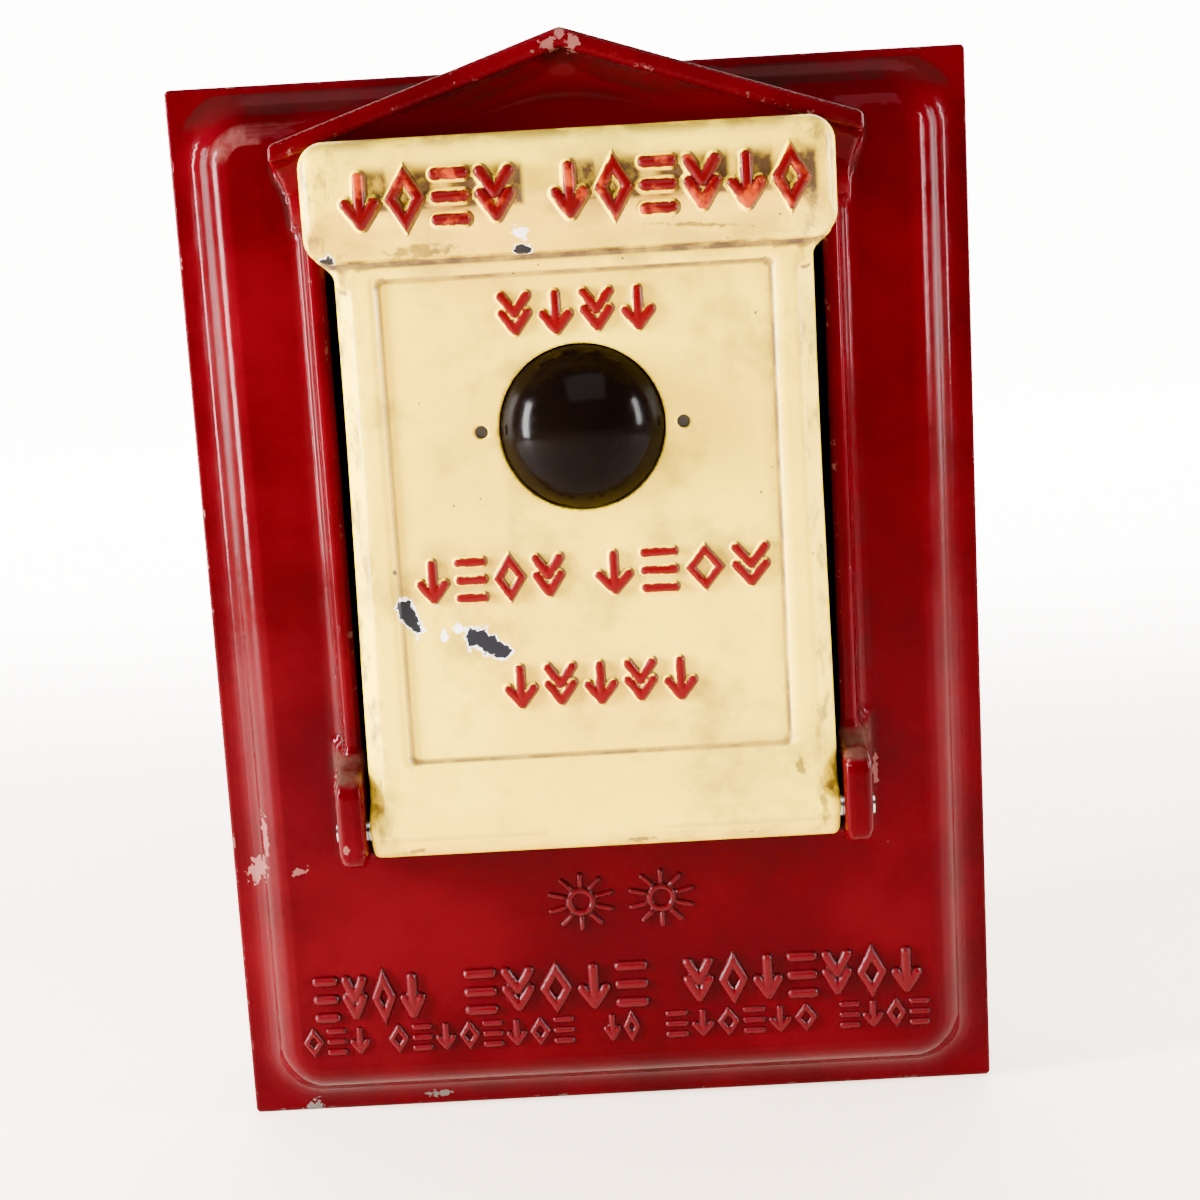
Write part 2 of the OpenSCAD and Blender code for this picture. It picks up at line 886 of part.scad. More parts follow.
// Two pins in the right cheek that the sector's ends come to rest on
sector_pitch = 360 / sector_teeth;
stop_offset = asin((stop_pin_r + loose_gap) / stop_ring_r);
stop_angles = [
    mesh_angle + (sector_first - 0.5) * sector_pitch - stop_offset,
    mesh_angle + (sector_last + 0.5) * sector_pitch + lever_travel + stop_offset
];

module stop_pins() {
    color("lightgray")
        for (a = stop_angles)
            rod_x(sector_x[0] - 1, cheek_x + sheet_t, pivot + polar(stop_ring_r, a), stop_pin_r);
}

// ---------- lever ----------

module pull_lever() {
    tip = pivot + polar(lever_l, lever_rest_angle);
    half_w = lever_handle_w / 2 - lever_handle_r;
    color("darkgray")
        difference() {
            union() {
                rod_x(-lever_hub_half_w, lever_hub_half_w, pivot, lever_hub_r);
                bar(-lever_arm_w / 2, lever_arm_w / 2)
                    translate(pivot)
                        rotate(lever_rest_angle)
                            translate([0, -lever_arm_h / 2])
                                square([lever_l, lever_arm_h]);
                rod_x(-half_w, half_w, tip, lever_handle_r);
                for (sx = [-1, 1])
                    translate([sx * half_w, tip[0], tip[1]])
                        sphere(lever_handle_r);
            }
            rod_x(-lever_handle_w, lever_handle_w, pivot, lever_shaft_r + fixed_gap);
        }
}

module lever_shaft() {
    color("lightgray")
        rod_x(-arbor_half_l - clip_t, arbor_half_l + clip_t, pivot, lever_shaft_r);
}

module shaft_clips() {
    color("dimgray")
        for (x = [-arbor_half_l, arbor_half_l - clip_t])
            bar(x, x + clip_t)
                translate(pivot)
                    difference() {
                        circle(clip_r);
                        circle(lever_shaft_r + fixed_gap);
                    }
}

module winding_sector() {
    color("peru")
        bar(sector_x[0], sector_x[1])
            translate(pivot)
                difference() {
                    union() {
                        polygon(concat(
                            [[0, 0]],
                            [for (i = [sector_first : sector_last])
                                each tooth(sector_teeth, sector_module, mesh_angle + i * sector_pitch)]
                        ));
                        circle(lever_hub_r);
                    }
                    circle(lever_shaft_r + fixed_gap);
                    for (a = sector_hole_angles)
                        translate(polar(sector_hole_ring_r, a))
                            circle(sector_hole_r);
                }
}

// Torsion spring on the lever's shaft, from a notch on the frame's base to the lever's hub
module lever_spring() {
    base_leg = [lever_coil_x[0], base_y - lever_wire_r - rest_gap, pivot[1] - 22];
    lever_leg = [-lever_hub_half_w - lever_wire_r - rest_gap, pivot[0] - 2, pivot[1] + 6];
    turns = coil(pivot, lever_coil_x[0], lever_coil_x[1], lever_coil_r, -60, lever_coil_turns);
    color("gray")
        tube(concat([base_leg], turns, [lever_leg]), lever_wire_r, near_x);
}

// ---------- code train ----------

module code_arbor() {
    color("lightgray")
        rod_x(-arbor_half_l, arbor_half_l, code_axis, arbor_r);
}

module code_pinion() {
    color("gold")
        bar(pinion_x[0], pinion_x[1])
            translate(code_axis)
                difference() {
                    gear_outline(pinion_teeth, sector_module, mesh_angle + 180 + 180 / pinion_teeth);
                    circle(arbor_r + fixed_gap);
                }
}

module code_wheel() {
    color("gold")
        bar(code_wheel_x[0], code_wheel_x[1])
            translate(code_axis)
                difference() {
                    circle(code_wheel_r);
                    for (g = [0 : len(code_groups) - 1], n = [0 : code_groups[g] - 1])
                        rotate(g * code_group_angle + n * notch_angle)
                            translate([code_wheel_r - notch_depth, -notch_w / 2])
                                square([notch_depth + cut, notch_w]);
                    circle(arbor_r + fixed_gap);
                }
}

module train_wheel() {
    color("gold")
        bar(train_x[0], train_x[1])
            translate(code_axis)
                difference() {
                    gear_outline(train_teeth, train_module, train_angle);
                    circle(arbor_r + fixed_gap);
                    for (i = [0 : train_holes - 1])
                        rotate(i * 360 / train_holes)
                            translate([train_hole_ring_r, 0])
                                circle(train_hole_r);
                }
}

module governor_arbor() {
    color("lightgray") {
        rod_x(-arbor_half_l, arbor_half_l, governor_axis, governor_arbor_r);
        bar(governor_pinion_x[0], governor_pinion_x[1])
            translate(governor_axis)
                gear_outline(governor_teeth, train_module, train_angle + 180 + 180 / governor_teeth);
    }
}

module governor_fly() {
    color("gold")
        bar(-fly_half_w, fly_half_w)
            translate(governor_axis)
                difference() {
                    union() {
                        circle(fly_hub_r);
                        square([fly_span, fly_t], center = true);
                    }
                    circle(governor_arbor_r + fixed_gap);
                }
}

// ---------- contacts and terminals ----------

module contact_leaf(front_y, bottom, button_y) {
    difference() {
        union() {
            slab(front_y, front_y + leaf_t)
                translate([leaf_x[0], bottom])
                    square([leaf_x[1] - leaf_x[0], leaf_top - bottom]);
            rod_y(min(button_y, front_y), max(button_y, front_y + leaf_t), [leaf_mid_x, button_z], button_r);
        }
        for (z = contact_screw_z)
            rod_y(front_y - cut, front_y + leaf_t + cut, [leaf_mid_x, z], contact_screw_r + loose_gap);
    }
}

module contact_leaves() {
    color("darkgoldenrod") {
        contact_leaf(front_leaf_y, front_leaf_bottom, front_leaf_y + leaf_t + button_h);
        contact_leaf(rear_leaf_y, rear_leaf_bottom, rear_leaf_y - button_h);
    }
}

module insulator(front, back) {
    slab(front, back)
        difference() {
            translate([stack_x[0], stack_z[0]])
                square([stack_x[1] - stack_x[0], stack_z[1] - stack_z[0]]);
            for (z = contact_screw_z)
                translate([leaf_mid_x, z])
                    circle(contact_screw_r + loose_gap);
        }
}

module contact_insulators() {
    color("saddlebrown") {
        insulator(stack_front_y, front_leaf_y);
        insulator(front_leaf_y + leaf_t, rear_leaf_y);
        insulator(rear_leaf_y + leaf_t, tab_y);
    }
}

module contact_screws() {
    color("silver")
        for (z = contact_screw_z)
            slotted_screw(
                [leaf_mid_x, z], stack_front_y, tab_y + tab_t - stack_front_y,
                contact_screw_r, contact_screw_head_r, contact_screw_head_t
            );
}

module terminal_block() {
    color([0.15, 0.1, 0.08])
        difference() {
            union() {
                slab(block_y, box_back_y)
                    span_rect(block_w, block_z[0], block_z[1]);
                for (n = [-2 : 2])
                    slab(block_y - barrier_h, block_y + cut)
                        translate([n * barrier_pitch - barrier_w / 2, block_z[0]])
                            square([barrier_w, block_z[1] - block_z[0]]);
            }
            for (x = terminal_x)
                rod_y(
                    block_y - cut, block_y + terminal_screw_l + cut,
                    [x, block_mid_z], terminal_screw_r + fixed_gap
                );
            for (sx = [-1, 1])
                rod_y(
                    block_y - cut, box_back_y + cut,
                    [sx * block_screw_x, block_mid_z], block_screw_r + fixed_gap
                );
        }
}

module terminal_screws() {
    color("gold")
        for (x = terminal_x)
            slotted_screw(
                [x, block_mid_z], block_y, terminal_screw_l,
                terminal_screw_r, terminal_screw_head_r, terminal_screw_head_t
            );
}

module block_screws() {
    color("silver")
        for (sx = [-1, 1])
            slotted_screw(
                [sx * block_screw_x, block_mid_z], block_y, block_t + thread_depth - loose_gap,
                block_screw_r, block_screw_head_r, block_screw_head_t
            );
}

// Two insulated leads from the contact leaves' tails to the terminals, run along the left cheek
across_leads = [0.2, 0.9, 0.3];
function bend(a, b, c, d, t) =
    0.5 * (2 * b + (c - a) * t + (2 * a - 5 * b + 4 * c - d) * t * t + (3 * b - 3 * c + d - a) * t * t * t);
function smooth_path(points, steps) = [
    for (i = [0 : len(points) - 2], k = [0 : steps - 1])
        bend(points[max(i - 1, 0)], points[i], points[i + 1], points[min(i + 2, len(points) - 1)], k / steps),
    points[len(points) - 1]
];
// Each lead's turning points: off its leaf, over the left cheek, down beside it, and in to its terminal
front_lead = [
    [leaf_mid_x, front_leaf_y - lead_r - 2 * rest_gap, leaf_top - 2],
    [-20, -43, 59], [-30, -42, 57], [-35, -36, 44],
    [-36, -30, 10], [-36, -28, -30], [-32, -27, -58], [-20, -24, -69],
    [terminal_x[0], lead_end_y, lead_end_z]
];
rear_lead = [
    [leaf_mid_x, rear_leaf_y + leaf_t + lead_r + rest_gap, leaf_top - 2],
    [-20, -33, 60], [-30, -32, 60], [-38.4, -30, 46],
    [-38.4, -26, 10], [-38.4, -24, -30], [-30, -20, -60], [-14, -22, -65],
    [terminal_x[1], lead_end_y, lead_end_z]
];

module signal_leads() {
    color("darkred")
        tube(smooth_path(front_lead, lead_steps), lead_r, across_leads);
    color("darkgreen")
        tube(smooth_path(rear_lead, lead_steps), lead_r, across_leads);
}

front_cover();
cover_gasket();
cover_screws();
back_box();
box_pillars();
conduit_hub();
hub_locknut();
earth_screw();
handle_door();
door_hinge_pin();
door_spring();
door_buffers();
lens_dome();
lens_gasket();
lens_retainer();
lens_screws();
mechanism_frame();
frame_screws();
bearing_bushes();
stop_pins();
pull_lever();
lever_shaft();
shaft_clips();
winding_sector();
lever_spring();
code_arbor();
code_pinion();
code_wheel();
train_wheel();
governor_arbor();
governor_fly();
contact_leaves();
contact_insulators();
contact_screws();
terminal_block();
terminal_screws();
block_screws();
signal_leads();
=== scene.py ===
"""Looks for a wall-mounted manual call point: red cast cover, cream pull-handle door, lever and clockwork.

Lengths are in millimetres in the shape functions and become metres where a mesh is made.
X is to the right, Y is into the wall and Z is up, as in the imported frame.
"""

import math
from functools import cached_property, reduce
from itertools import cycle

import bmesh
import bpy
import numpy as np
from mathutils import Matrix, Vector


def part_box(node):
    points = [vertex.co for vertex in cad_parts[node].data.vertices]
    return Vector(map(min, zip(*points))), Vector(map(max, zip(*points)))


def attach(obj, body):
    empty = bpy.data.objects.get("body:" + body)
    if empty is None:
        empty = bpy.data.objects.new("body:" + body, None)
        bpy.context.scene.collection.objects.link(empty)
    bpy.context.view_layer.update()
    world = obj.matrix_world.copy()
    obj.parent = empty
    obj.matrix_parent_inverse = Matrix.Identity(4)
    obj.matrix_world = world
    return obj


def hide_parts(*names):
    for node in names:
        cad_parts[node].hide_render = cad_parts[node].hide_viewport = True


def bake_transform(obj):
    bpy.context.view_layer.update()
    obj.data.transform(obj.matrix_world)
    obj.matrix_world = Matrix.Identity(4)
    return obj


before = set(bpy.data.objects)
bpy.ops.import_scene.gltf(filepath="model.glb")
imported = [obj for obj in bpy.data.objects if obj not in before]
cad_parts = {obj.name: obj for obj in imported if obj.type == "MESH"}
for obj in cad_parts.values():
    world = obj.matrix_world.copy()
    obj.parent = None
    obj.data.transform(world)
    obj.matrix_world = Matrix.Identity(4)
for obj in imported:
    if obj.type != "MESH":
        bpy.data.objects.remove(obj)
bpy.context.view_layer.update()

MM = 0.001


# ---------- places, read from the frame ----------

def node_box(node):
    """Lowest and highest corner of a CAD node, in millimetres."""
    low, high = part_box(node)
    return low / MM, high / MM


cover_low, cover_high = node_box("front_cover")
door_low, door_high = node_box("handle_door")
pin_low, pin_high = node_box("door_hinge_pin")
dome_low, dome_high = node_box("lens_dome")
gasket_low, _ = node_box("lens_gasket")
_, lens_screw_high = node_box("lens_screws")
cover_screw_low, cover_screw_high = node_box("cover_screws")
shaft_low, shaft_high = node_box("lever_shaft")
lever_spring_low, lever_spring_high = node_box("lever_spring")

WALL_Y = cover_high.y
PLATE_HALF_W = cover_high.x
PLATE_HALF_H = -cover_low.z
FLANGE_Y = WALL_Y - 3.5
PAN_Y = WALL_Y - 11.5
RAIL_Y = WALL_Y - 18.5
PEDIMENT_Y = cover_low.y
FLOOR_Y = WALL_Y - 3.0

HINGE_Y = (pin_low.y + pin_high.y) / 2
HINGE_Z = (pin_low.z + pin_high.z) / 2
PIN_R = (pin_high.z - pin_low.z) / 2
BARREL_R = 7.0
DOOR_Y = HINGE_Y - BARREL_R
DOOR_BACK_Y = door_high.y
DOOR_HALF_W = 55.5
DOOR_TOP = 86.0
DOOR_WALL = 3.0
PANEL_DEPTH = 1.5
PANEL_Y = DOOR_Y + PANEL_DEPTH
PANEL_HALF_W = 45.2
PANEL_BOTTOM = -32.4
PANEL_TOP = 81.5
PANEL_BACK_Y = gasket_low.y

GRIP_Y = door_low.y
GRIP_BACK_Y = GRIP_Y + 16.5
GRIP_TOP = door_high.z
GRIP_BOTTOM = GRIP_TOP - 27.0
GRIP_HALF_W = door_high.x
GRIP_MARK_GROUPS = [(-51, -11, 4), (-4.5, 54, 6)]

LENS_Z = (dome_low.z + dome_high.z) / 2
LENS_R = 19.0
LENS_SCREW_R = 1.5
LENS_SCREW_HEAD_R = 2.8
LENS_SCREW_X = lens_screw_high.x - LENS_SCREW_HEAD_R

OPENING_HALF_W = DOOR_HALF_W + 1.8
OPENING_TOP = DOOR_TOP + 2.0
OPENING_BOTTOM = HINGE_Z - BARREL_R - 1.5
RAIL_X = OPENING_HALF_W + 3.05
RAIL_HALF_W = 2.05
RAIL_TOP = 100.0
EAR_W = 8.0
EAR_Y = HINGE_Y - 9.0
EAR_TOP = HINGE_Z + 13.5
EAR_BOTTOM = HINGE_Z - 8.0
EAVE_X = 67.0
EAVE_Z = 111.0
APEX_Z = 133.2
ROOF_SLOPE = math.atan((APEX_Z - EAVE_Z) / EAVE_X)
ROOF_BAND_HALF = 2.1
PEDIMENT_BOTTOM = 96.0
CORBEL_H = 16.0
PAN_BORDER = (10.8, 10.0)
PAN_CORNER_R = 9.0
PAN_EDGE_R = 4.4
PAN_DRAFT = 0.5
LEVER_SLOT = ((0, -12), (5.5, 24.5), 4.5)
COVER_SCREW_HEAD_R = 4.0
COVER_SCREW_HOLE_R = 2.3

MARK_EDGE_R = 0.8
MARK_DRAFT = 0.45
MARK_ROOT = 1.2
CARVE_MARGIN = 2.0
COIL_STEPS = 36
SPRING_GAP = 0.1


# ---------- signed distances: negative inside, in millimetres ----------

def smooth_min(a, b, blend):
    """The nearer of two distances, with a round transition where they are alike."""
    h = np.clip(0.5 + 0.5 * (b - a) / blend, 0, 1)
    return b * (1 - h) + a * h - blend * h * (1 - h)


def smooth_max(a, b, blend):
    return -smooth_min(-a, -b, blend)


def cut_away(solid, tool, blend):
    return smooth_max(solid, -tool, blend)


def union(shapes):
    """The nearest of several distances."""
    return reduce(np.minimum, shapes)


def rectangle(u, v, centre, half, corner):
    """Distance to a rectangle with round corners, in any two of the axes."""
    du = np.abs(u - centre[0]) - half[0] + corner
    dv = np.abs(v - centre[1]) - half[1] + corner
    outside = np.hypot(np.maximum(du, 0), np.maximum(dv, 0))
    return outside + np.minimum(np.maximum(du, dv), 0) - corner


def centred(x, z, half_w, bottom, top, corner):
    """Distance to a rectangle about the middle plane, between two heights."""
    return rectangle(x, z, (0, (top + bottom) / 2), (half_w, (top - bottom) / 2), corner)


def from_hinge(y, z):
    """Distance to the axis of the door's hinge."""
    return np.hypot(y - HINGE_Y, z - HINGE_Z)


def thick(outline, along, low, high, edge):
    """An outline made solid between two depths, with round edges."""
    half = (high - low) / 2
    du = outline + edge
    dv = np.abs(along - (low + high) / 2) - half + edge
    outside = np.hypot(np.maximum(du, 0), np.maximum(dv, 0))
    return outside + np.minimum(np.maximum(du, dv), 0) - edge


def capsule(u, v, start, end, radius):
    """Distance to a thick line with round ends, in any two of the axes."""
    line = np.subtract(end, start)
    t = ((u - start[0]) * line[0] + (v - start[1]) * line[1]) / max(line @ line, 1e-9)
    t = np.clip(t, 0, 1)
    return np.hypot(u - start[0] - t * line[0], v - start[1] - t * line[1]) - radius


def ramp(value, low, high):
    """0 below low, 1 above high, and a smooth rise between."""
    t = np.clip((value - low) / (high - low), 0, 1)
    return t * t * (3 - 2 * t)


# ---------- meshes ----------

CORNERS = [(i, j, k) for i in (0, 1) for j in (0, 1) for k in (0, 1)]


def sample(shape, low, high, step):
    """The shape's distances on a grid that starts at low and reaches high."""
    counts = np.ceil((np.array(high) - low) / step).astype(int) + 1
    axes = [np.float32(low[k] + step * np.arange(counts[k])) for k in range(3)]
    x = axes[0][:, None, None]
    y = axes[1][None, :, None]
    z = axes[2][None, None, :]
    return np.broadcast_to(shape(x, y, z), counts).astype(np.float32)


def surface_points(field, cells):
    """One point in each cell that the surface crosses: the mean of its edge crossings, in grid units."""
    value = {c: field[cells[:, 0] + c[0], cells[:, 1] + c[1], cells[:, 2] + c[2]] for c in CORNERS}
    total = np.zeros(cells.shape)
    count = np.zeros(len(cells))
    for axis in range(3):
        for start in (c for c in CORNERS if c[axis] == 0):
            end = tuple(v + (n == axis) for n, v in enumerate(start))
            a, b = value[start], value[end]
            crossed = (a < 0) != (b < 0)
            t = np.where(crossed, a / np.where(crossed, a - b, 1), 0)
            point = np.tile(np.array(start, float), (len(cells), 1))
            point[:, axis] += t
            total += point * crossed[:, None]
            count += crossed
    return cells + total / count[:, None]


def surface_quads(field, index):
    """Quads round every grid edge that the surface crosses, facing outwards."""
    inside = field < 0
    quads = []
    for axis in range(3):
        u, v = (axis + 1) % 3, (axis + 2) % 3
        near = np.moveaxis(inside, (axis, u, v), (0, 1, 2))
        cell = np.moveaxis(index, (axis, u, v), (0, 1, 2))
        a = near[:-1, 1:-1, 1:-1]
        b = near[1:, 1:-1, 1:-1]
        for mask, order in ((a & ~b, (0, 1, 2, 3)), (~a & b, (3, 2, 1, 0))):
            i, j, k = np.nonzero(mask)
            ring = [cell[i, j, k], cell[i, j + 1, k], cell[i, j + 1, k + 1], cell[i, j, k + 1]]
            quads.append(np.stack([ring[n] for n in order], 1))
    return np.concatenate(quads)


def slopes(field, points):
    """Unit directions in which the distance grows, at points given in grid units."""
    base = np.clip(np.round(points).astype(int), 1, np.array(field.shape) - 2)
    grads = []
    for axis in range(3):
        step = np.eye(3, dtype=int)[axis]
        ahead, behind = base + step, base - step
        grads.append(field[tuple(ahead.T)] - field[tuple(behind.T)])
    grads = np.stack(grads, 1)
    return grads / np.maximum(np.linalg.norm(grads, axis=1), 1e-6)[:, None]


def bend_at(field, points, reach):
    """How sharply the surface bends at points: positive on edges that stand out, negative in hollows."""
    base = np.clip(np.round(points).astype(int), reach, np.array(field.shape) - 1 - reach)
    total = -6 * field[tuple(base.T)]
    for axis in range(3):
        step = np.eye(3, dtype=int)[axis] * reach
        total = total + field[tuple((base + step).T)] + field[tuple((base - step).T)]
    return total / reach


def add_object(name, data):
    obj = bpy.data.objects.new(name, data)
    bpy.context.scene.collection.objects.link(obj)
    return obj


def add_mesh(name, vertices, faces):
    mesh = bpy.data.meshes.new(name)
    mesh.from_pydata(vertices, [], faces)
    mesh.validate()
    return add_object(name, mesh)


def evaluated_mesh(obj):
    """A new mesh of the object with its modifiers or its bevel worked out."""
    bpy.context.view_layer.update()
    return bpy.data.meshes.new_from_object(obj.evaluated_get(bpy.context.evaluated_depsgraph_get()))


def shade_smooth(obj):
    obj.data.polygons.foreach_set("use_smooth", np.ones(len(obj.data.polygons), bool))


def carve(name, shape, low, high, step, keep):
    """A mesh of the shape's surface, thinned to a share of its faces, with the bend kept for worn edges,
    dirt and painted shade.
    """
    low = np.array(low, float)
    field = sample(shape, low, high, step)
    inside = field < 0
    mixed = np.zeros(tuple(n - 1 for n in field.shape), np.int8)
    for i, j, k in CORNERS:
        mixed += inside[i:i + mixed.shape[0], j:j + mixed.shape[1], k:k + mixed.shape[2]]
    cells = np.argwhere((mixed > 0) & (mixed < 8))
    index = np.full(mixed.shape, -1)
    index[tuple(cells.T)] = np.arange(len(cells))
    points = surface_points(field, cells)
    quads = surface_quads(field, index)
    vertices = (low + points * step) * MM
    obj = add_mesh(name, vertices.tolist(), quads.tolist())
    thin(obj, keep)
    finish_surface(obj, field, low, step)
    return obj


def thin(obj, keep):
    """Joins the mesh's faces until only a share of them is left."""
    modifier = obj.modifiers.new("thin", "DECIMATE")
    modifier.ratio = keep
    mesh = evaluated_mesh(obj)
    obj.modifiers.clear()
    old = obj.data
    obj.data = mesh
    bpy.data.meshes.remove(old)


def finish_surface(obj, field, low, step):
    """Smooth shading from the distances themselves, and the bend of the surface kept as an attribute."""
    mesh = obj.data
    count = len(mesh.vertices)
    vertices = np.zeros(count * 3, np.float32)
    mesh.vertices.foreach_get("co", vertices)
    points = (vertices.reshape(-1, 3) / MM - low) / step
    shade_smooth(obj)
    mesh.normals_split_custom_set_from_vertices(slopes(field, points).tolist())
    bend = mesh.attributes.new("bend", "FLOAT", "POINT")
    reach = max(1, round(1.4 / step))
    bend.data.foreach_set("value", bend_at(field, points, reach).astype(np.float32))


def lathe(name, profile, centre, segments):
    """A closed solid turned about an axis along Y; the profile is (radius, depth) pairs in millimetres."""
    bm = bmesh.new()
    rings = []
    for radius, depth in profile:
        if radius < 1e-6:
            rings.append([bm.verts.new((centre[0] * MM, depth * MM, centre[1] * MM))])
            continue
        ring = []
        for n in range(segments):
            a = 2 * math.pi * n / segments
            x = centre[0] + radius * math.cos(a)
            z = centre[1] + radius * math.sin(a)
            ring.append(bm.verts.new((x * MM, depth * MM, z * MM)))
        rings.append(ring)
    for first, second in zip(rings, rings[1:]):
        for n in range(segments):
            corners = [first[n % len(first)], first[(n + 1) % len(first)],
                       second[(n + 1) % len(second)], second[n % len(second)]]
            bm.faces.new(list(dict.fromkeys(corners)))
    bmesh.ops.recalc_face_normals(bm, faces=bm.faces)
    mesh = bpy.data.meshes.new(name)
    bm.to_mesh(mesh)
    bm.free()
    obj = add_object(name, mesh)
    shade_smooth(obj)
    return obj


def soften(obj, width):
    """A small round on every sharp edge, with the faces beside it left flat."""
    bevel = obj.modifiers.new("bevel", "BEVEL")
    bevel.width = width * MM
    bevel.segments = 2
    bevel.angle_limit = math.radians(30)
    bevel.harden_normals = True
    shade_smooth(obj)


def wire(name, points, radius):
    """A round wire through points in millimetres, as a mesh."""
    curve = bpy.data.curves.new(name, "CURVE")
    curve.dimensions = "3D"
    curve.bevel_depth = radius * MM
    curve.bevel_resolution = 3
    curve.use_fill_caps = True
    spline = curve.splines.new("POLY")
    spline.points.add(len(points) - 1)
    for target, point in zip(spline.points, points):
        target.co = (*(Vector(point) * MM), 1)
    holder = add_object(name, curve)
    mesh = evaluated_mesh(holder)
    bpy.data.objects.remove(holder)
    obj = add_object(name, mesh)
    shade_smooth(obj)
    return obj


# ---------- materials ----------

RED = (0.057, 0.0, 0.0019)
RED_DEEP = (0.035, 0.0, 0.0012)
RED_PAINTED_LIGHT = (0.080, 0.0, 0.0022)
# Dull red: random dull patches of the paint, and also painted shade on the opening's floor and on the right
# flanks of the cover's marks.
RED_DULL_AND_SHADE = (0.018, 0.0, 0.0004)
GRIME_AND_SHADE = (0.009, 0.0045, 0.0035)
PAINTED_SHADE_BLACK = (0.0015, 0.0010, 0.0010)
LEDGE_DIRT = (0.055, 0.036, 0.024)
# Pinkish primer where the red is worn off, also the colour of painted highlights on the pan's upper edge
# and left slope.
PRIMER_AND_HIGHLIGHT = (0.125, 0.042, 0.036)
BARE_IRON = (0.075, 0.068, 0.062)
CREAM = (0.92, 0.66, 0.002)
CREAM_DEEP = (0.80, 0.52, 0.002)
CREAM_DIRT_AND_SHADE = (0.070, 0.038, 0.016)
CREAM_PAINTED_SHADE = (0.36, 0.22, 0.020)
CREAM_SMUDGE = (0.020, 0.012, 0.006)
UNDERCOAT = (0.95, 0.92, 0.86)
CHIP_RIM = (0.95, 0.93, 0.90)
SLATE = (0.0034, 0.0046, 0.0080)
FLY_SPECK = (0.05, 0.03, 0.015)
MARK_RED = (0.092, 0.0, 0.0012)
GRIP_MARK_RED = (0.066, 0.0, 0.0008)
FADED_RED = (0.34, 0.035, 0.002)
MARK_SHADE = (0.075, 0.035, 0.014)
SPRING_STEEL = (0.22, 0.22, 0.24)


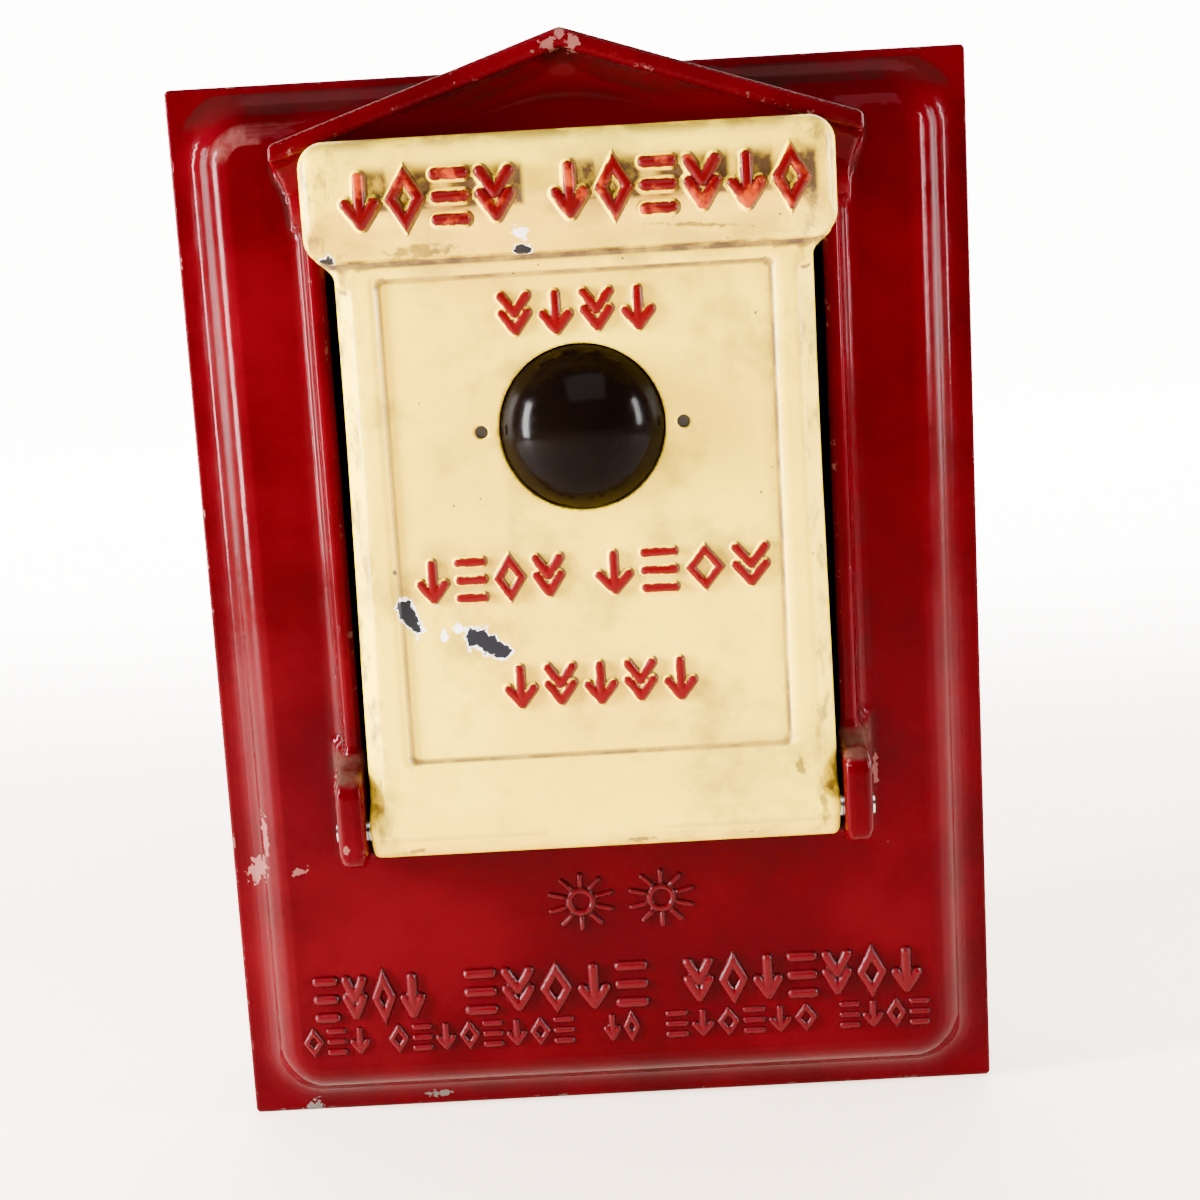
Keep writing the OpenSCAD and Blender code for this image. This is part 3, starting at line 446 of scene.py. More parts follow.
class Look:
    """A node material whose sockets are made by short calls. Positions are in millimetres, in the frame."""

    def __init__(self, name):
        self.material = bpy.data.materials.new(name)
        self.material.use_nodes = True
        self.tree = self.material.node_tree
        self.shader = self.tree.nodes["Principled BSDF"]
        self.coords = self.add("ShaderNodeTexCoord").outputs
        self.position = self.vector("MULTIPLY", self.coords["Object"], (1 / MM,) * 3)

    def add(self, kind, inputs=None, **settings):
        """A new node, with values or other nodes' sockets fed to its inputs."""
        node = self.tree.nodes.new(kind)
        for key, value in settings.items():
            setattr(node, key, value)
        for key, value in (inputs or {}).items():
            self.feed(node.inputs[key], value)
        return node

    def feed(self, socket, value):
        if isinstance(value, bpy.types.NodeSocket):
            self.tree.links.new(value, socket)
        elif socket.type == "RGBA" and len(value) == 3:
            socket.default_value = (*value, 1)
        else:
            socket.default_value = value

    def vector(self, operation, a, b):
        node = self.add("ShaderNodeVectorMath", {0: a, 1: b}, operation=operation)
        return node.outputs["Value" if operation == "LENGTH" else "Vector"]

    def math(self, operation, a, b=0.0):
        return self.add("ShaderNodeMath", {0: a, 1: b}, operation=operation).outputs[0]

    def product(self, first, *others):
        for other in others:
            first = self.math("MULTIPLY", first, other)
        return first

    def most(self, first, *others):
        """The largest of several values."""
        for other in others:
            first = self.math("MAXIMUM", first, other)
        return first

    def split(self, vector):
        """The three parts of a vector, by the names X, Y and Z."""
        return self.add("ShaderNodeSeparateXYZ", {0: vector}).outputs

    @cached_property
    def place(self):
        return self.split(self.position)

    @cached_property
    def facing(self):
        """Which way the surface faces along each axis of the object, from -1 to 1."""
        return self.split(self.coords["Normal"])

    @cached_property
    def off_centre(self):
        """How far a point is from the object's middle plane."""
        return self.math("ABSOLUTE", self.place["X"])

    @cached_property
    def bend(self):
        """The surface's bend, kept on the mesh by finish_surface."""
        return self.add("ShaderNodeAttribute", attribute_name="bend").outputs["Fac"]

    def noise(self, size, detail=4.0, rough=0.55, stretch=(1, 1, 1), shift=(0, 0, 0)):
        """Noise with features about size millimetres across, from 0 to 1."""
        place = self.vector("MULTIPLY", self.position, tuple(s / size for s in stretch))
        place = self.vector("ADD", place, shift)
        inputs = {"Vector": place, "Scale": 1.0, "Detail": detail, "Roughness": rough}
        return self.add("ShaderNodeTexNoise", inputs).outputs["Fac"]

    def specks(self, size, radius, share, shift=(0, 0, 0)):
        """Small uneven specks, one in each of a share of cells that are size millimetres across."""
        place = self.vector("MULTIPLY", self.position, (1 / size,) * 3)
        fine = self.vector("MULTIPLY", self.position, (0.8 / radius,) * 3)
        ragged = self.add("ShaderNodeTexNoise", {"Vector": fine, "Scale": 1.0}).outputs["Color"]
        place = self.vector("ADD", place, self.vector("MULTIPLY", ragged, (1.6 * radius / size,) * 3))
        inputs = {"Vector": self.vector("ADD", place, shift), "Scale": 1.0}
        cells = self.add("ShaderNodeTexVoronoi", inputs, feature="F1").outputs
        dice = self.add("ShaderNodeSeparateColor", {0: cells["Color"]}).outputs[0]
        kept = self.range(dice, 1 - share, 1 - share + 0.01)
        edge = radius / size
        return self.product(self.range(cells["Distance"], edge, edge * 0.7), kept)

    def range(self, value, low, high, to_low=0.0, to_high=1.0):
        """A smooth change from to_low at low to to_high at high; low may be the larger of the two."""
        inputs = {"Value": value, "From Min": low, "From Max": high, "To Min": to_low, "To Max": to_high}
        return self.add("ShaderNodeMapRange", inputs, interpolation_type="SMOOTHSTEP").outputs["Result"]

    def along(self, axis, low, high, to_low=0.0, to_high=1.0):
        """The same smooth change, between two places on an axis."""
        return self.range(self.place[axis], low, high, to_low, to_high)

    def mix(self, share, a, b):
        return self.add("ShaderNodeMix", {0: share, 6: a, 7: b}, data_type="RGBA").outputs[2]

    def patch(self, centre, size, tilt, ragged, grain):
        """How far inside an uneven patch a point is: above 0 inside. centre and size are (x, z)."""
        place = self.vector("SUBTRACT", self.position, (centre[0], 0, centre[1]))
        inputs = {"Vector": place, "Angle": math.radians(tilt)}
        turned = self.add("ShaderNodeVectorRotate", inputs, rotation_type="Y_AXIS").outputs[0]
        flat = self.vector("MULTIPLY", turned, (2 / size[0], 0, 2 / size[1]))
        away = self.vector("LENGTH", flat, (0, 0, 0))
        wander = self.product(self.math("SUBTRACT", self.noise(grain, 3.0, 0.6), 0.5), 4 * ragged)
        return self.math("SUBTRACT", 1.0, self.math("ADD", away, wander))

    def patches(self, places, ragged, grain):
        """The deepest of several patches; each place is (centre, size, tilt)."""
        return self.most(*(self.patch(*place, ragged, grain) for place in places))

    def bump(self, height, distance, strength):
        inputs = {"Height": height, "Distance": distance * MM, "Strength": strength}
        self.feed(self.shader.inputs["Normal"], self.add("ShaderNodeBump", inputs).outputs["Normal"])

    def set(self, **values):
        for key, value in values.items():
            self.feed(self.shader.inputs[key.replace("_", " ")], value)


def red_enamel():
    look = Look("red_enamel")
    paint = look.mix(look.range(look.noise(40), 0.3, 0.7), RED_DEEP, RED)
    dull = look.range(look.noise(24, 6.0, 0.6, shift=(7, 3, 1)), 0.4, 0.8, 0.0, 0.55)
    paint = look.mix(dull, paint, RED_DULL_AND_SHADE)
    # Painted light: the wall under the roof is painted a lighter red, as if it were lit.
    paint = look.mix(painted_light_under_roof(look), paint, RED_PAINTED_LIGHT)
    # Dirt and painted shade: darker in the hollows.
    paint = look.mix(cover_grime_and_shade(look), paint, GRIME_AND_SHADE)
    dusty = on_roof(look)
    paint = look.mix(look.product(dusty, 0.3), paint, LEDGE_DIRT)
    paint = look.mix(ledge_dirt(look), paint, LEDGE_DIRT)
    # Painted highlight along the left half of the pan's upper edge.
    paint = look.mix(pan_top_highlight(look), paint, PRIMER_AND_HIGHLIGHT)
    # Painted shade in the opening behind the door: near black by its side walls, dark red on its floor.
    near_walls = look.range(look.off_centre, OPENING_HALF_W - 9, OPENING_HALF_W - 4)
    paint = look.mix(shade_inside_opening(look), paint, look.mix(near_walls, RED_DULL_AND_SHADE, PAINTED_SHADE_BLACK))
    wear_and_highlight = cover_wear_and_highlight(look)
    bare = look.mix(look.along("Z", -122, -124), PRIMER_AND_HIGHLIGHT, BARE_IRON)
    look.set(Base_Color=look.mix(wear_and_highlight, paint, bare))
    smear = look.range(look.noise(12, 6.0, 0.65, shift=(1, 5, 2)), 0.3, 0.75, 0.09, 0.22)
    matt = look.most(look.product(wear_and_highlight, 0.3), look.product(dusty, 0.6))
    look.set(Roughness=look.math("ADD", smear, matt))
    look.set(Specular_IOR_Level=0.06, Specular_Tint=(1.0, 0.34, 0.38))
    look.bump(look.math("SUBTRACT", look.noise(6, 4.0, 0.5), look.product(wear_and_highlight, 0.6)), 0.18, 0.5)
    return look.material


def painted_light_under_roof(look):
    """1 on the wall under the roof, where the red is painted lighter, as painted light standing in for the
    light that the roof keeps off.
    """
    return look.product(
        look.along("Z", 97, 104),
        look.range(look.off_centre, 62, 54),
        look.along("Y", PEDIMENT_Y + 1.5, PEDIMENT_Y + 4.0),
        look.along("Y", PAN_Y - 5.0, PAN_Y - 7.0))


def on_roof(look):
    """1 on the roof's upper faces, which have lost their shine."""
    return look.product(
        look.range(look.facing["Z"], 0.5, 0.85),
        look.along("Y", PAN_Y - 1.0, PAN_Y - 3.0),
        look.along("Z", EAVE_Z - 6, EAVE_Z - 2))


def pan_top_highlight(look):
    """A thin lighter line along the left half of the pan's upper edge: a painted highlight in the colour of
    rubbed primer.
    """
    return look.product(
        look.along("Z", 110, 114),
        look.range(look.bend, 0.10, 0.20),
        look.along("Y", PAN_Y - 1.0, PAN_Y - 0.3),
        look.along("Y", PAN_Y + 3.0, PAN_Y + 1.5),
        look.along("X", 0, -30),
        look.range(look.noise(6, 6.0, 0.7, shift=(9, 4, 2)), 0.35, 0.65, 0.1, 0.5))


def cover_grime_and_shade(look):
    """Dirt and painted shade in the hollows, and dirt along the flange's top edge."""
    patchy = look.range(look.noise(8, 6.0, 0.65), 0.38, 0.62)
    hollow = look.product(look.range(look.bend, -0.06, -0.45), patchy, 0.6)
    uneven = look.range(look.noise(14, 5.0, 0.6, shift=(2, 2, 6)), 0.3, 0.55)
    top = look.product(look.along("Z", 117, 122), look.range(look.bend, 0.0, -0.15), uneven, 0.7)
    return look.most(hollow, top)


def ledge_dirt(look):
    """Dust that lies on the ledges of the hinge lugs."""
    return look.product(
        look.along("Z", EAR_TOP - 1.0, EAR_TOP + 0.5),
        look.along("Z", EAR_TOP + 6.0, EAR_TOP + 3.5),
        look.range(look.off_centre, 56.5, 57.5),
        look.range(look.off_centre, 67, 64),
        look.range(look.noise(5, 5.0, 0.6), 0.3, 0.6, 0.1, 0.55))


def shade_inside_opening(look):
    """1 on the walls and floor of the opening behind the door, which are painted dark as shade."""
    return look.product(
        look.range(look.off_centre, OPENING_HALF_W + 1.4, OPENING_HALF_W + 0.9),
        look.along("Z", OPENING_BOTTOM - 0.6, OPENING_BOTTOM),
        look.along("Z", OPENING_TOP + 0.6, OPENING_TOP),
        look.along("Y", RAIL_Y + 0.6, RAIL_Y + 2.0))


def cover_wear_and_highlight(look):
    """Where the red is gone: rubbed edges, small chips and a few larger scuffed places; one narrow strip
    among them, on the pan's left slope, is a painted highlight.
    """
    rub = look.product(look.range(look.bend, 0.30, 0.8), look.range(look.noise(4, 7.0, 0.75), 0.60, 0.63))
    scuffs_and_highlight = look.patches([
        # The strip at (-85.5, -54) on the pan's left slope is a painted highlight; the other places are
        # scuffed paint.
        ((-88.5, -63), (4.5, 8), -20), ((-85.5, -54), (1.6, 12), 0), ((-77, -62.5), (3.6, 2.2), 20),
        ((-47, -126), (5, 2.2), 0), ((-80, -128), (5, 3.5), 0), ((-62.5, -53), (2.2, 2.2), 0),
        ((-2.6, 131.5), (3.2, 3), 0), ((0.2, 134), (3, 2.2), 0), ((2.8, 131.5), (3.2, 3), 0),
        ((-66, -44), (1.5, 9), 0), ((67, -44), (1.5, 7), 0),
    ], ragged=0.95, grain=1.8)
    return look.most(rub, look.specks(9, 0.35, 0.25), look.specks(21, 0.8, 0.2, shift=(4, 1, 3)),
                     look.range(scuffs_and_highlight, 0.0, 0.12))


def cream_enamel():
    look = Look("cream_enamel")
    paint = look.mix(look.range(look.noise(38), 0.3, 0.7), CREAM_DEEP, CREAM)
    # Painted shade: the cream is darker wherever the surface bends inwards.
    paint = look.mix(look.range(look.bend, -0.01, -0.16, 0.0, 0.75), paint, CREAM_PAINTED_SHADE)
    # Dirt and painted shade: darker in the hollows, under the grip and beside its marks.
    paint = look.mix(cream_dirt_and_shade(look), paint, CREAM_DIRT_AND_SHADE)
    paint = look.mix(cream_smudges(look), paint, CREAM_SMUDGE)
    paint = look.mix(cream_flakes(look), paint, UNDERCOAT)
    chip = cream_chips(look)
    paint = look.mix(look.range(chip, -0.26, -0.10), paint, CHIP_RIM)
    paint = look.mix(look.range(chip, -0.04, 0.06), paint, SLATE)
    # Painted shade on the door's side walls inside the opening.
    paint = look.mix(door_side_shade(look), paint, PAINTED_SHADE_BLACK)
    dots = look.most(look.specks(6, 0.36, 0.3, shift=(2, 0, 5)), look.specks(15, 0.7, 0.25))
    look.set(Base_Color=look.mix(dots, paint, FLY_SPECK))
    look.set(Roughness=look.range(look.noise(16, 5.0, 0.6, shift=(5, 1, 2)), 0.3, 0.7, 0.24, 0.45))
    look.set(Specular_IOR_Level=0.2)
    dent = look.range(chip, -0.1, 0.1, 0.0, 1.5)
    look.bump(look.math("SUBTRACT", look.noise(5, 4.0, 0.5), dent), 0.15, 0.6)
    return look.material


def cream_dirt_and_shade(look):
    """Brown dirt along the grip and a few broad stains, with dirt and painted shade in the door's hollows,
    in the crease under the grip and beside the grip's marks.
    """
    patchy = look.range(look.noise(11, 6.0, 0.65), 0.34, 0.62, 0.15, 1.0)
    hollow = look.product(look.range(look.bend, -0.04, -0.3), patchy, 0.85)
    stain = look.range(look.noise(22, 7.0, 0.65, shift=(4, 2, 8)), 0.47, 0.70, 0.0, 0.5)
    streaks = look.noise(5, 5.0, 0.65, stretch=(1, 1, 0.5), shift=(8, 1, 4))
    border = look.product(look.range(look.off_centre, 48, 54), look.range(streaks, 0.46, 0.66, 0.0, 0.75))
    top = look.product(look.along("Z", GRIP_TOP - 4.5, GRIP_TOP - 0.5),
                       look.range(look.noise(9, 5.0, 0.6, shift=(1, 7, 2)), 0.35, 0.6, 0.1, 0.75))
    return look.most(hollow, stain, border, top, marks_dirt_and_shadow(look), grip_crease_dirt_and_shade(look))


def cream_smudges(look):
    """Dark smears: under the marks on the grip, and low on the door."""
    smears = look.patches([
        ((-35, 88.0), (17, 2.6), 3), ((8, -54.5), (6, 1.8), 0), ((-46, -54.5), (5, 1.8), 10),
        ((29, 90.3), (20, 0.9), -4), ((52.5, -48), (2, 7), 0), ((47.5, -38), (2, 5), 0),
    ], ragged=0.9, grain=1.8)
    return look.range(smears, -0.2, 0.6, 0.0, 0.7)


def cream_flakes(look):
    """Small places near the chips where only the cream is gone, down to its white undercoat."""
    flakes = look.patches([
        ((-38, 7.5), (3.0, 3.4), 30), ((-35.5, -2.0), (1.4, 3.2), 0), ((-31.5, -0.5), (3.0, 2.0), 0),
        ((-11.4, 91.0), (3.2, 3.4), 0), ((-41, -0.5), (2.2, 1.4), 0),
    ], ragged=0.9, grain=1.6)
    return look.product(look.range(flakes, 0.0, 0.15), look.along("Y", DOOR_Y + 3, DOOR_Y + 2))


def door_side_shade(look):
    """Painted shade, near black, on the door's side walls, where they lie inside the opening."""
    return look.product(
        look.range(look.off_centre, DOOR_HALF_W - 0.7, DOOR_HALF_W - 0.2),
        look.along("Y", DOOR_Y + 5.0, DOOR_Y + 7.0),
        look.along("Z", DOOR_TOP - 1.0, DOOR_TOP - 4.0, 0.0, 0.95))


def grip_crease_dirt_and_shade(look):
    """A brown line of dirt and painted shade in the crease under the grip, and a darkening that fades
    upwards from it, stronger to the right.
    """
    uneven = look.range(look.noise(7, 5.0, 0.65, shift=(5, 5, 1)), 0.3, 0.6, 0.35, 1.0)
    away = look.math("ABSOLUTE", look.math("SUBTRACT", look.place["Z"], GRIP_BOTTOM - 0.3))
    line = look.product(look.range(away, 1.5, 0.5), uneven, look.along("Y", DOOR_Y + 1.5, DOOR_Y + 0.8))
    stain = look.product(
        look.along("Z", GRIP_BOTTOM - 0.5, GRIP_BOTTOM + 0.5),
        look.along("Z", GRIP_BOTTOM + 11, GRIP_BOTTOM + 2),
        look.along("X", -30, 50, 0.15, 0.5),
        uneven)
    return look.most(line, stain)


def marks_dirt_and_shadow(look):
    """Dirt, and a painted shadow, at the right-hand side of each mark on the grip."""
    runs = []
    for left, right, count in GRIP_MARK_GROUPS:
        cell = look.math("DIVIDE", look.math("SUBTRACT", look.place["X"], left), (right - left) / count)
        phase = look.math("FRACT", look.math("SUBTRACT", cell, 0.2))
        runs.append(look.product(
            look.range(phase, 0.10, 0.45), look.range(phase, 1.0, 0.85),
            look.range(cell, 0.2, 0.5), look.range(cell, count + 0.5, count + 0.2)))
    return look.product(
        look.most(*runs),
        look.along("Z", 90.5, 94.5),
        look.along("Z", 108, 104),
        look.along("Y", GRIP_Y + 2.5, GRIP_Y + 1.5),
        look.range(look.noise(4, 5.0, 0.65, shift=(3, 3, 9)), 0.28, 0.55, 0.35, 1.0))


def cream_chips(look):
    """Deep chips low on the left of the panel and on the grip's lower edge, none far behind its face."""
    groups = [
        (PANEL_BACK_Y - 2.0, [((-43.3, 3.0), (3.8, 8.8), 24), ((-28.0, -2.8), (5.6, 5.0), 0),
                              ((-24.2, -5.4), (7.6, 4.6), -18)]),
        (GRIP_Y + 12.5, [((-55.5, 86.2), (4.2, 2.6), 30), ((-11.2, 87.0), (4.2, 2.2), 0)]),
    ]
    chips = []
    for back_y, places in groups:
        behind = look.along("Y", back_y, back_y + 1.0, 0.0, 9.0)
        chips.append(look.math("SUBTRACT", look.patches(places, ragged=0.5, grain=2.2), behind))
    return look.most(*chips)


def metal(name, colour, rough, grain=3.0):
    """Bare metal with a fine grain and a patchy tarnish."""
    look = Look(name)
    tarnish = look.range(look.noise(grain * 4), 0.35, 0.7)
    look.set(Base_Color=look.mix(tarnish, tuple(0.75 * c for c in colour), colour), Metallic=1.0)
    look.set(Roughness=look.range(look.noise(grain, 5.0, 0.6), 0.3, 0.7, rough * 0.75, rough * 1.35))
    look.bump(look.noise(grain / 6, 3.0), 0.03, 0.4)
    return look.material


def coating(name, colour, rough, coat=0.0):
    """Paint, rubber or moulded plastic with a slight mottle and texture."""
    look = Look(name)
    mottle = look.range(look.noise(16, 5.0, 0.6), 0.3, 0.7)
    look.set(Base_Color=look.mix(mottle, tuple(0.8 * c for c in colour), colour), Coat_Weight=coat)
    look.set(Roughness=look.range(look.noise(8), 0.3, 0.7, rough * 0.8, rough * 1.2))
    look.bump(look.noise(4 / 3, 3.0), 0.05, 0.5)
    return look.material


def mark_paint(name, floor_y, rise, top, left_flank, right_flank_shade, fading=0.0):
    """Paint on the tops of raised marks only, with one colour on their left flanks and a darker one on the
    right, as painted shade.
    """
    look = Look(name)
    height = look.math("SUBTRACT", floor_y, look.place["Y"])
    uneven = look.product(look.math("SUBTRACT", look.noise(1.8, 5.0, 0.65), 0.5), rise * 0.8)
    on_top = look.range(look.math("ADD", height, uneven), rise * 0.60, rise * 0.76)
    # Painted shade: the flanks that face right are darker.
    flanks_and_shade = look.mix(look.range(look.facing["X"], -0.1, 0.5), left_flank, right_flank_shade)
    faded = look.range(look.noise(9, 5.0, 0.6, shift=(6, 1, 3)), 0.52, 0.64, 0.0, 0.75)
    ink = look.mix(look.product(faded, fading), top, FADED_RED)
    look.set(Base_Color=look.mix(on_top, flanks_and_shade, ink), Specular_IOR_Level=0.08)
    look.set(Roughness=look.range(look.noise(6), 0.3, 0.7, 0.22, 0.42))
    look.bump(look.noise(2.5), 0.1, 0.5)
    return look.material


def dark_glass():
    look = Look("dark_glass")
    look.set(Base_Color=look.mix(look.noise(9, 3.0), (0.0010, 0.0005, 0.0004), (0.0030, 0.0014, 0.0009)))
    look.set(Roughness=look.range(look.noise(3, 7.0, 0.75), 0.35, 0.8, 0.10, 0.22))
    look.set(IOR=1.08, Specular_IOR_Level=0.65)
    look.bump(look.noise(12, 2.0), 0.05, 0.3)
    return look.material


# ---------- the cover ----------

def below_roof(x, z):
    """How far a point lies below the middle of the roof's edge band, measured square to it."""
    return (APEX_Z - (APEX_Z - EAVE_Z) * np.abs(x) / EAVE_X - z) * math.cos(ROOF_SLOPE)


def pediment(x, y, z):
    """The roof's edge band, and under it a wall that curves forward into the band."""
    depth = below_roof(x, z)
    sides = np.abs(x) - EAVE_X
    band = smooth_max(np.abs(depth) - ROOF_BAND_HALF, sides, 1.2)
    roof = thick(band, y, PEDIMENT_Y, WALL_Y, 1.0)
    rounded_x = np.sqrt(x ** 2 + 200) - 5
    scoop_y = PAN_Y - 10 - 2.6 * (1 - ramp(below_roof(rounded_x, z), 1.5, 10.0))
    outline = np.maximum(np.maximum(-depth, PEDIMENT_BOTTOM - z), sides + 3)
    wall = np.maximum(outline, (scoop_y - y) * 0.7)
    return smooth_min(roof, wall, 4.0)


def corbels(x, y, z):
    """A bracket under each eave, set back from the roof, that ends in a small round lobe on the rail."""
    drop = np.clip((EAVE_Z - z) / CORBEL_H, 0, 1)
    outer = EAVE_X - 0.5 - (EAVE_X - RAIL_X - RAIL_HALF_W) * ramp(drop, 0.15, 1.0)
    outline = smooth_max(np.abs(x) - outer, OPENING_HALF_W + 1 - np.abs(x), 1.0)
    outline = np.maximum(outline, np.maximum(z - EAVE_Z, EAVE_Z - CORBEL_H - z))
    front = PAN_Y - 5 - 9 * (1 - drop) ** 0.7
    bracket = smooth_max(outline, front - y, 2.4)
    lobe = np.sqrt((np.abs(x) - RAIL_X - 0.6) ** 2 + ((y - RAIL_Y + 0.5) * 0.8) ** 2
                   + ((z - EAVE_Z + 11.5) * 0.8) ** 2) - 3.0
    return smooth_min(bracket, lobe, 1.2)


def rails(x, y, z):
    outline = rectangle(np.abs(x), z, (RAIL_X, (RAIL_TOP + EAR_TOP) / 2),
                        (RAIL_HALF_W, (RAIL_TOP - EAR_TOP) / 2 + 3), 0.5)
    return thick(outline - 0.12 * (y - RAIL_Y), y, RAIL_Y, PAN_Y + 4, 1.7)


def ears(x, y, z):
    """Hinge lugs with a sloping ledge on top."""
    front = EAR_Y - y
    top = (z - EAR_TOP - 0.38 * (y - EAR_Y)) * 0.93
    profile = smooth_max(smooth_max(front, top, 3.5), EAR_BOTTOM - z, 5.0)
    profile = np.maximum(profile, y - PAN_Y - 4)
    side = np.abs(np.abs(x) - OPENING_HALF_W - EAR_W / 2 + 0.4) - EAR_W / 2 + 0.4
    return smooth_max(profile, side, 2.6)


def recess(x, y, z):
    outline = centred(x, z, OPENING_HALF_W, OPENING_BOTTOM, OPENING_TOP, 1.5)
    return np.maximum(outline, y - FLOOR_Y)


def floor_holes(x, y, z):
    """The lever's slot and the clearance holes for the cover screws, through the recess floor."""
    holes = rectangle(x, z, *LEVER_SLOT)
    across = np.abs(x) - cover_screw_high.x + COVER_SCREW_HEAD_R
    for height in (cover_screw_low.z + COVER_SCREW_HEAD_R, cover_screw_high.z - COVER_SCREW_HEAD_R):
        holes = np.minimum(holes, np.hypot(across, z - height) - COVER_SCREW_HOLE_R)
    return holes


def cover_shape(x, y, z):
    flange = thick(rectangle(x, z, (0, 0), (PLATE_HALF_W, PLATE_HALF_H), 1.0), y, FLANGE_Y, WALL_Y, 0.7)
    pan_half = (PLATE_HALF_W - PAN_BORDER[0], PLATE_HALF_H - PAN_BORDER[1])
    pan_outline = rectangle(x, z, (0, 0), pan_half, PAN_CORNER_R)
    pan = thick((pan_outline - PAN_DRAFT * (y - PAN_Y)) * 0.9, y, PAN_Y, WALL_Y + 8, PAN_EDGE_R)
    body = smooth_min(flange, pan, 5.0)
    body = smooth_min(body, pediment(x, y, z), 3.0)
    body = smooth_min(body, smooth_min(rails(x, y, z), corbels(x, y, z), 2.0), 4.0)
    body = smooth_min(body, ears(x, y, z), 3.0)
    body = np.maximum(body, y - WALL_Y)
    body = cut_away(body, recess(x, y, z), 1.2)
    body = cut_away(body, floor_holes(x, y, z), 0.6)
    return cut_away(body, from_hinge(y, z) - PIN_R - 0.1, 0.5)


def make_cover(paint):
    low = np.subtract((-PLATE_HALF_W, PEDIMENT_Y, -PLATE_HALF_H), CARVE_MARGIN)
    high = np.add((PLATE_HALF_W, WALL_Y, cover_high.z), CARVE_MARGIN)
    step = 0.7
    cover = carve("cover_casting", cover_shape, low, high, step, keep=0.5)
    cover.data.materials.append(paint)
    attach(cover, "station")
    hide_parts("front_cover")


# ---------- the door ----------

def door_tray(x, y, z):
    """The door's pan: chamfered at its sides, open at the back."""
    half = DOOR_HALF_W + 1.1 * ramp(-z, -60, 50)
    deep = y - DOOR_Y
    side = np.abs(x) - half
    chamfer_w = 4.3 * ramp(z, -49, -43)
    chamfer = (side + chamfer_w - deep) * 0.707
    body = smooth_max(smooth_max(side, -deep, 1.6), chamfer, 0.8)
    body = np.maximum(body, y - DOOR_BACK_Y)
    body = np.maximum(body, np.maximum(z - DOOR_TOP, HINGE_Z - z))
    hollow = centred(x, z, DOOR_HALF_W - DOOR_WALL, HINGE_Z + BARREL_R + 2, DOOR_TOP - DOOR_WALL, 4.0)
    body = cut_away(body, np.maximum(hollow, PANEL_BACK_Y - y), 1.2)
    behind_pin = np.maximum(HINGE_Y - y, z - HINGE_Z - BARREL_R)
    return np.maximum(body, -behind_pin)


def door_barrel(x, y, z):
    return smooth_max(from_hinge(y, z) - BARREL_R, np.abs(x) - DOOR_HALF_W - 1.1, 2.0)


def grip_bar(x, y, z):
    return thick(centred(x, z, GRIP_HALF_W, GRIP_BOTTOM, GRIP_TOP, 6.0), y, GRIP_Y, GRIP_BACK_Y, 4.0)


def grip_hollow(x, y, z):
    outline = rectangle(x, z, (0, (GRIP_TOP + GRIP_BOTTOM) / 2 + 4.7), (GRIP_HALF_W - 8, 4.8), 3.0)
    return np.maximum(outline, GRIP_Y + 4 - y)


def neck(x, y, z):
    """Joins the grip bar to the door's face, and widens into the bar."""
    flare = 4.5 * ramp(z, GRIP_BOTTOM - 5, GRIP_BOTTOM + 2) ** 2
    outline = rectangle(x, z, (0, (DOOR_TOP + GRIP_BOTTOM) / 2 + 4), (DOOR_HALF_W - 0.5, 10), 2.0) - flare
    return thick(outline, y, DOOR_Y + 0.2, PANEL_BACK_Y, 1.5)


def panel_recess(x, y, z):
    deep = y - DOOR_Y
    spread = 1.1 * (PANEL_DEPTH - deep)
    outline = centred(x, z, PANEL_HALF_W, PANEL_BOTTOM, PANEL_TOP, 1.5) - spread
    return np.maximum(outline * 0.7, deep - PANEL_DEPTH)


def spring_bay(x, y, z):
    """Room for the spring: round its coil, behind the pin, and up to the back of the panel."""
    coil = from_hinge(y, z) - BARREL_R + 1.2
    behind = np.maximum(HINGE_Y - y, np.abs(z - HINGE_Z) - BARREL_R - 2)
    above = np.maximum(np.maximum(PANEL_BACK_Y - 0.2 - y, HINGE_Z - z), z - HINGE_Z - BARREL_R - 2)
    return np.maximum(np.abs(x) - 12, np.minimum(np.minimum(coil, behind), above))


def door_openings(x, y, z):
    lens = np.hypot(x, z - LENS_Z) - LENS_R - 0.4
    screws = np.hypot(np.abs(x) - LENS_SCREW_X, z - LENS_Z) - LENS_SCREW_R - 0.05
    pin = from_hinge(y, z) - PIN_R - 0.15
    return np.minimum(np.minimum(lens, screws), np.minimum(spring_bay(x, y, z), pin))


def door_shape(x, y, z):
    body = smooth_min(door_tray(x, y, z), door_barrel(x, y, z), 1.0)
    body = smooth_min(body, neck(x, y, z), 1.0)
    body = smooth_min(body, grip_bar(x, y, z), 1.8)
    body = cut_away(body, panel_recess(x, y, z), 0.7)
    body = cut_away(body, grip_hollow(x, y, z), 2.0)
    return cut_away(body, door_openings(x, y, z), 0.35)


def make_door(paint):
    low = np.subtract((-GRIP_HALF_W, GRIP_Y, door_low.z), CARVE_MARGIN)
    high = np.add((GRIP_HALF_W, DOOR_BACK_Y, GRIP_TOP), CARVE_MARGIN)
    step = 0.5
    door = carve("door_casting", door_shape, low, high, step, keep=0.5)
    door.data.materials.append(paint)
    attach(door, "door")
    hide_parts("handle_door")


# ---------- raised marks: plain signs with no letters ----------

def arrow(x, z, centre, width, height, stroke):
    """An arrow that points down."""
    cx, cz = centre
    tip = (cx, cz - height / 2 + stroke)
    starts = [(cx + side * (width / 2 - stroke), cz - height * 0.05) for side in (-1, 1)]
    starts.append((cx, cz + height / 2 - stroke))
    return union(capsule(x, z, start, tip, stroke) for start in starts)


